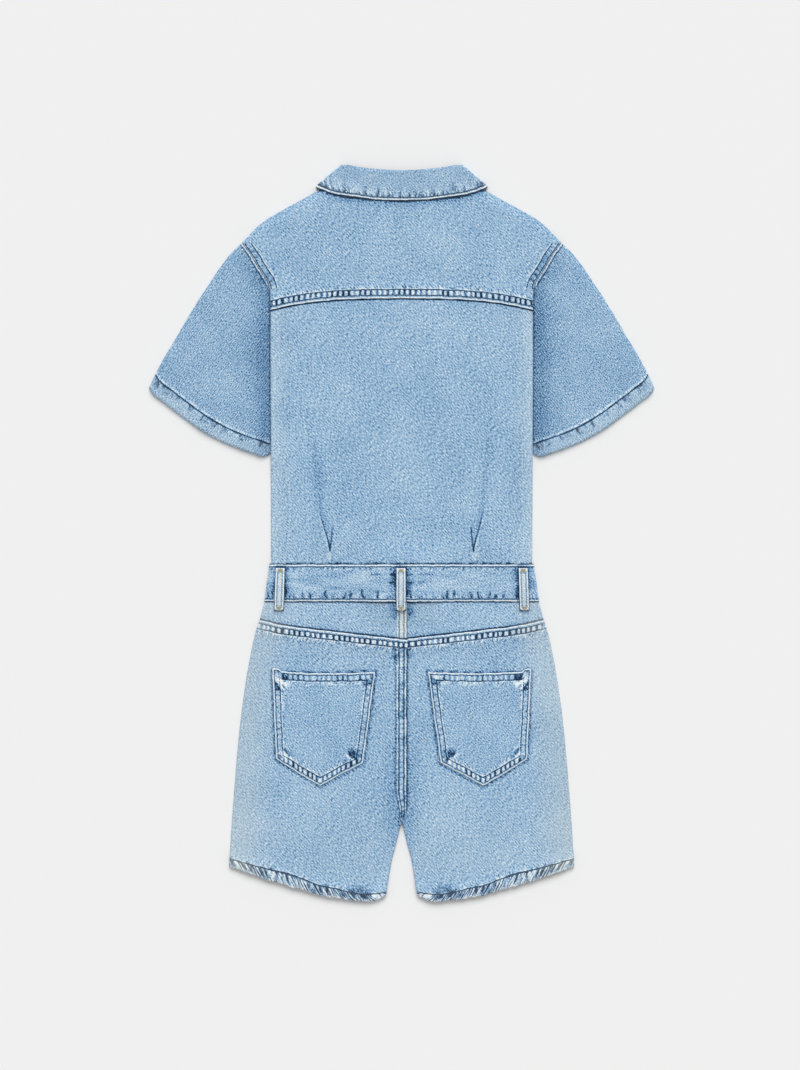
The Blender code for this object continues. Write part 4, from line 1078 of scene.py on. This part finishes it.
def button(index, height):
    # a plain pressed metal button with a raised rim and a low dome, its face down on the table
    size = {"radius": 8.0, "thick": 1.6, "rim": 1.5, "recess": 0.45, "dome": 3.2, "rise": 0.4}
    bpy.ops.object.select_all(action="DESELECT")
    bpy.ops.mesh.primitive_cylinder_add(vertices=40, radius=size["radius"] * mm, depth=size["thick"] * mm)
    piece = bpy.context.object
    piece.name = piece.data.name = "metal_button_" + str(index)
    bpy.ops.object.mode_set(mode="EDIT")
    bpy.ops.mesh.select_all(action="DESELECT")
    shape = bmesh.from_edit_mesh(piece.data)
    face = min(shape.faces, key=lambda f: f.calc_center_median().z)
    face.select_set(True)
    bmesh.update_edit_mesh(piece.data)
    bpy.ops.mesh.bevel(offset=0.3 * mm, segments=2)
    bpy.ops.mesh.select_all(action="DESELECT")
    shape = bmesh.from_edit_mesh(piece.data)
    face = min(shape.faces, key=lambda f: (round(f.calc_center_median().z, 6), -f.calc_area()))
    face.select_set(True)
    bmesh.update_edit_mesh(piece.data)
    for inset, rise in ((size["rim"], 0.0), (0.5, size["recess"]), (size["dome"], -size["rise"])):
        bpy.ops.mesh.inset(thickness=inset * mm)
        bpy.ops.transform.translate(value=(0, 0, rise * mm))
    bpy.ops.mesh.select_all(action="SELECT")
    bpy.ops.transform.translate(value=(0, (height + look["shift"]) * mm, size["thick"] / 2 * mm))
    bpy.ops.object.mode_set(mode="OBJECT")
    bpy.ops.object.shade_smooth()
    piece.data.set_sharp_from_angle(angle=math.radians(35))
    piece.data.materials.append(buttonMetal)
    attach(piece, "root")
    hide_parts("button_" + str(index))


stitchSets = {}


def stitchRow(kind, surface, path, length=None):
    # a row of thread stitches dropped onto a sheet, along a path of places in millimetres
    length = length or look["stitch"]
    path = np.array(path, float)
    run = np.concatenate([[0], np.cumsum(np.hypot(*np.diff(path, axis=0).T))])
    count = int(run[-1] / length)
    tree = surfaces[surface]
    for k in range(count):
        ends = []
        for at in (k + 0.09, k + 0.91):
            px, py = np.interp(at * length, run, path[:, 0]), np.interp(at * length, run, path[:, 1])
            hit = tree.ray_cast(Vector((px * mm, (py + look["shift"]) * mm, 0.1)), Vector((0, 0, -1)))
            if hit[0] is not None:
                ends.append((px, py + look["shift"], hit[0].z / mm + look["threadLift"]))
        if len(ends) == 2:
            stitchSets.setdefault(kind, []).append(ends)


def makeStitches(kind, material, width=None):
    radius = (width or look["thread"]) / 2
    # rings of a stitch: place along it, width as a share of the thread's, and height over the cloth
    stations = ((0.0, 0.35, -0.30), (0.14, 0.9, 0.05), (0.5, 1.0, 0.16), (0.86, 0.9, 0.05),
                (1.0, 0.35, -0.30))
    sides = 5
    spots, faces = [], []
    for start, end in stitchSets.get(kind, []):
        a, b = np.array(start), np.array(end)
        way = b - a
        length = np.hypot(way[0], way[1])
        acrossWay = np.array([-way[1], way[0], 0]) / length
        first = len(spots)
        for share, wide, high in stations:
            centre = a + way * share + np.array([0, 0, high])
            for k in range(sides):
                angle = 2 * np.pi * k / sides
                spots.append(centre + acrossWay * radius * wide * math.cos(angle)
                             + np.array([0, 0, 1]) * radius * wide * math.sin(angle))
        for ringIndex in range(len(stations) - 1):
            for k in range(sides):
                n = (k + 1) % sides
                p, q = first + ringIndex * sides, first + (ringIndex + 1) * sides
                faces.append((p + k, q + k, q + n, p + n))
        faces.append(tuple(first + k for k in range(sides)))
        faces.append(tuple(first + (len(stations) - 1) * sides + k for k in reversed(range(sides))))
    mesh = bpy.data.meshes.new(kind)
    mesh.from_pydata([tuple(s * mm) for s in spots], [], faces)
    mesh.shade_smooth()
    mesh.materials.append(material)
    piece = bpy.data.objects.new(kind, mesh)
    bpy.context.scene.collection.objects.link(piece)
    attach(piece, "root")


def line(function, start, end):
    return [(p, float(function(p))) for p in steps((start, end, 2.0))]


def sewing():
    size = {"tackHalf": 3.4, "tackRows": (-39.2, -40.3, -41.4, -78.4, -79.5, -80.6), "lapRow": 2.3}
    for offset in (3.0, 9.0):
        stitchRow("stitches_body", "yoke_back", line(lambda p: along(yokeSeam, abs(p)) + offset, -134, 134))
    for side in (-1, 1):
        leg = "leg_back_cloth_" + sideName(side)
        for offset in hipRows:
            stitchRow("stitches_body", leg, [(side * px, py - offset) for px, py in line(
                lambda p: along(hipSeam, p), 0.5, 146)])
        stitchRow("stitches_body", leg,
                  [(side * px, py) for px, py in line(lambda p: along(hemLine, p), 18, 178)])
    for px in (-size["lapRow"], size["lapRow"]):
        stitchRow("stitches_body", "hip_yoke_left", [(px, -74.0), (px, -112.0)])
        stitchRow("stitches_body", "leg_back_cloth_left", [(px, -126.0), (px, -284.0)])
    for py in (bandTop - bandRows[0], bandBottom + bandRows[1]):
        stitchRow("stitches_body", "waistband_cloth", [(-137, py), (137, py)])
    for name, middle, lean in loops:
        for py in size["tackRows"]:
            px = middle + lean * (-0.5 if py > -60 else 0.5)
            ends = [(px - size["tackHalf"], py), (px + size["tackHalf"], py)]
            stitchRow("bar_tacks", "loop_cloth_" + name, ends, length=2 * size["tackHalf"])
    stitchRow("stitches_body", "collar_cloth", line(lambda p: along(collarFree, abs(p)) + 2.4, -85, 85))


def studio():
    # a paper floor, an even room and one large window on the right
    size = {"floor": 4.0, "floorHeight": -0.0002, "air": 0.5, "window": 2.04, "windowAngle": 40,
            "windowFrom": (0.10, 0.95, 1.05)}
    floor = bpy.data.meshes.new("floor")
    corners = [(x * size["floor"], y * size["floor"], size["floorHeight"])
               for x, y in ((-1, -1), (1, -1), (1, 1), (-1, 1))]
    floor.from_pydata(corners, [], [(0, 1, 2, 3)])
    ground = bpy.data.objects.new("floor", floor)
    # matt white paper, which shows the soft shadow and no shine
    floor.materials.append(makePlain("paper_floor", "f2f2f2", 0.95))
    bpy.context.scene.collection.objects.link(ground)
    world = bpy.data.worlds.new("studio_air")
    bpy.context.scene.world = world
    world.use_nodes = True
    air = world.node_tree.nodes["Background"]
    air.inputs["Color"].default_value = (1, 1, 1, 1)
    air.inputs["Strength"].default_value = size["air"]
    sun = bpy.data.lights.new("window", "SUN")
    sun.energy = size["window"]
    sun.angle = math.radians(size["windowAngle"])
    lamp = bpy.data.objects.new("window", sun)
    lamp.rotation_euler = Vector(size["windowFrom"]).to_track_quat("Z", "Y").to_euler()
    bpy.context.scene.collection.objects.link(lamp)
    bpy.context.scene.view_settings.view_transform = "Standard"


def camera():
    # straight above; the middle of the garment is a little off the middle of the picture, in its pixels
    size = {"lens": 85.0, "sensor": 36.0, "tall": 1070, "middle": (400 - 401.7, 532 - 535)}
    scale = look["photoScale"] * mm
    data = bpy.data.cameras.new("camera")
    data.lens, data.sensor_width = size["lens"], size["sensor"]
    view = bpy.data.objects.new("camera", data)
    high = size["tall"] * scale * data.lens / data.sensor_width
    x, y = size["middle"]
    view.location = (x * scale, y * scale + look["shift"] * mm, high)
    bpy.context.scene.collection.objects.link(view)
    bpy.context.scene.camera = view


buttonHeights = (268.0, 210.0, 152.0, 94.0, 36.0, -53.4, -105.0, -155.0)
camera()
studio()
for index, height in enumerate(buttonHeights, 1):
    button(index, height)
for side in (1, -1):
    bodiceFront(side)
    frontLeg(side)
collarStand()
print("front made")
backYoke()
bodiceBack()
print("bodice made")
for side in (-1, 1):
    hipYoke(side)
    backLeg(side)
    pocket(side)
    sleeve(side)
print("shorts and sleeves made")
waistband()
for name, middle, lean in loops:
    beltLoop(name, middle, lean)
collarFall()
print("waistband, loops and collar made")
sewing()
# twisted cotton thread, matt: darker than the cloth in the rows, ochre in the bar tacks
makeStitches("stitches_body", makePlain("cotton_thread", "4a6178", 0.8))
makeStitches("bar_tacks", makePlain("ochre_cotton_thread", "b7a878", 0.8), width=0.9)
print("stitches made")
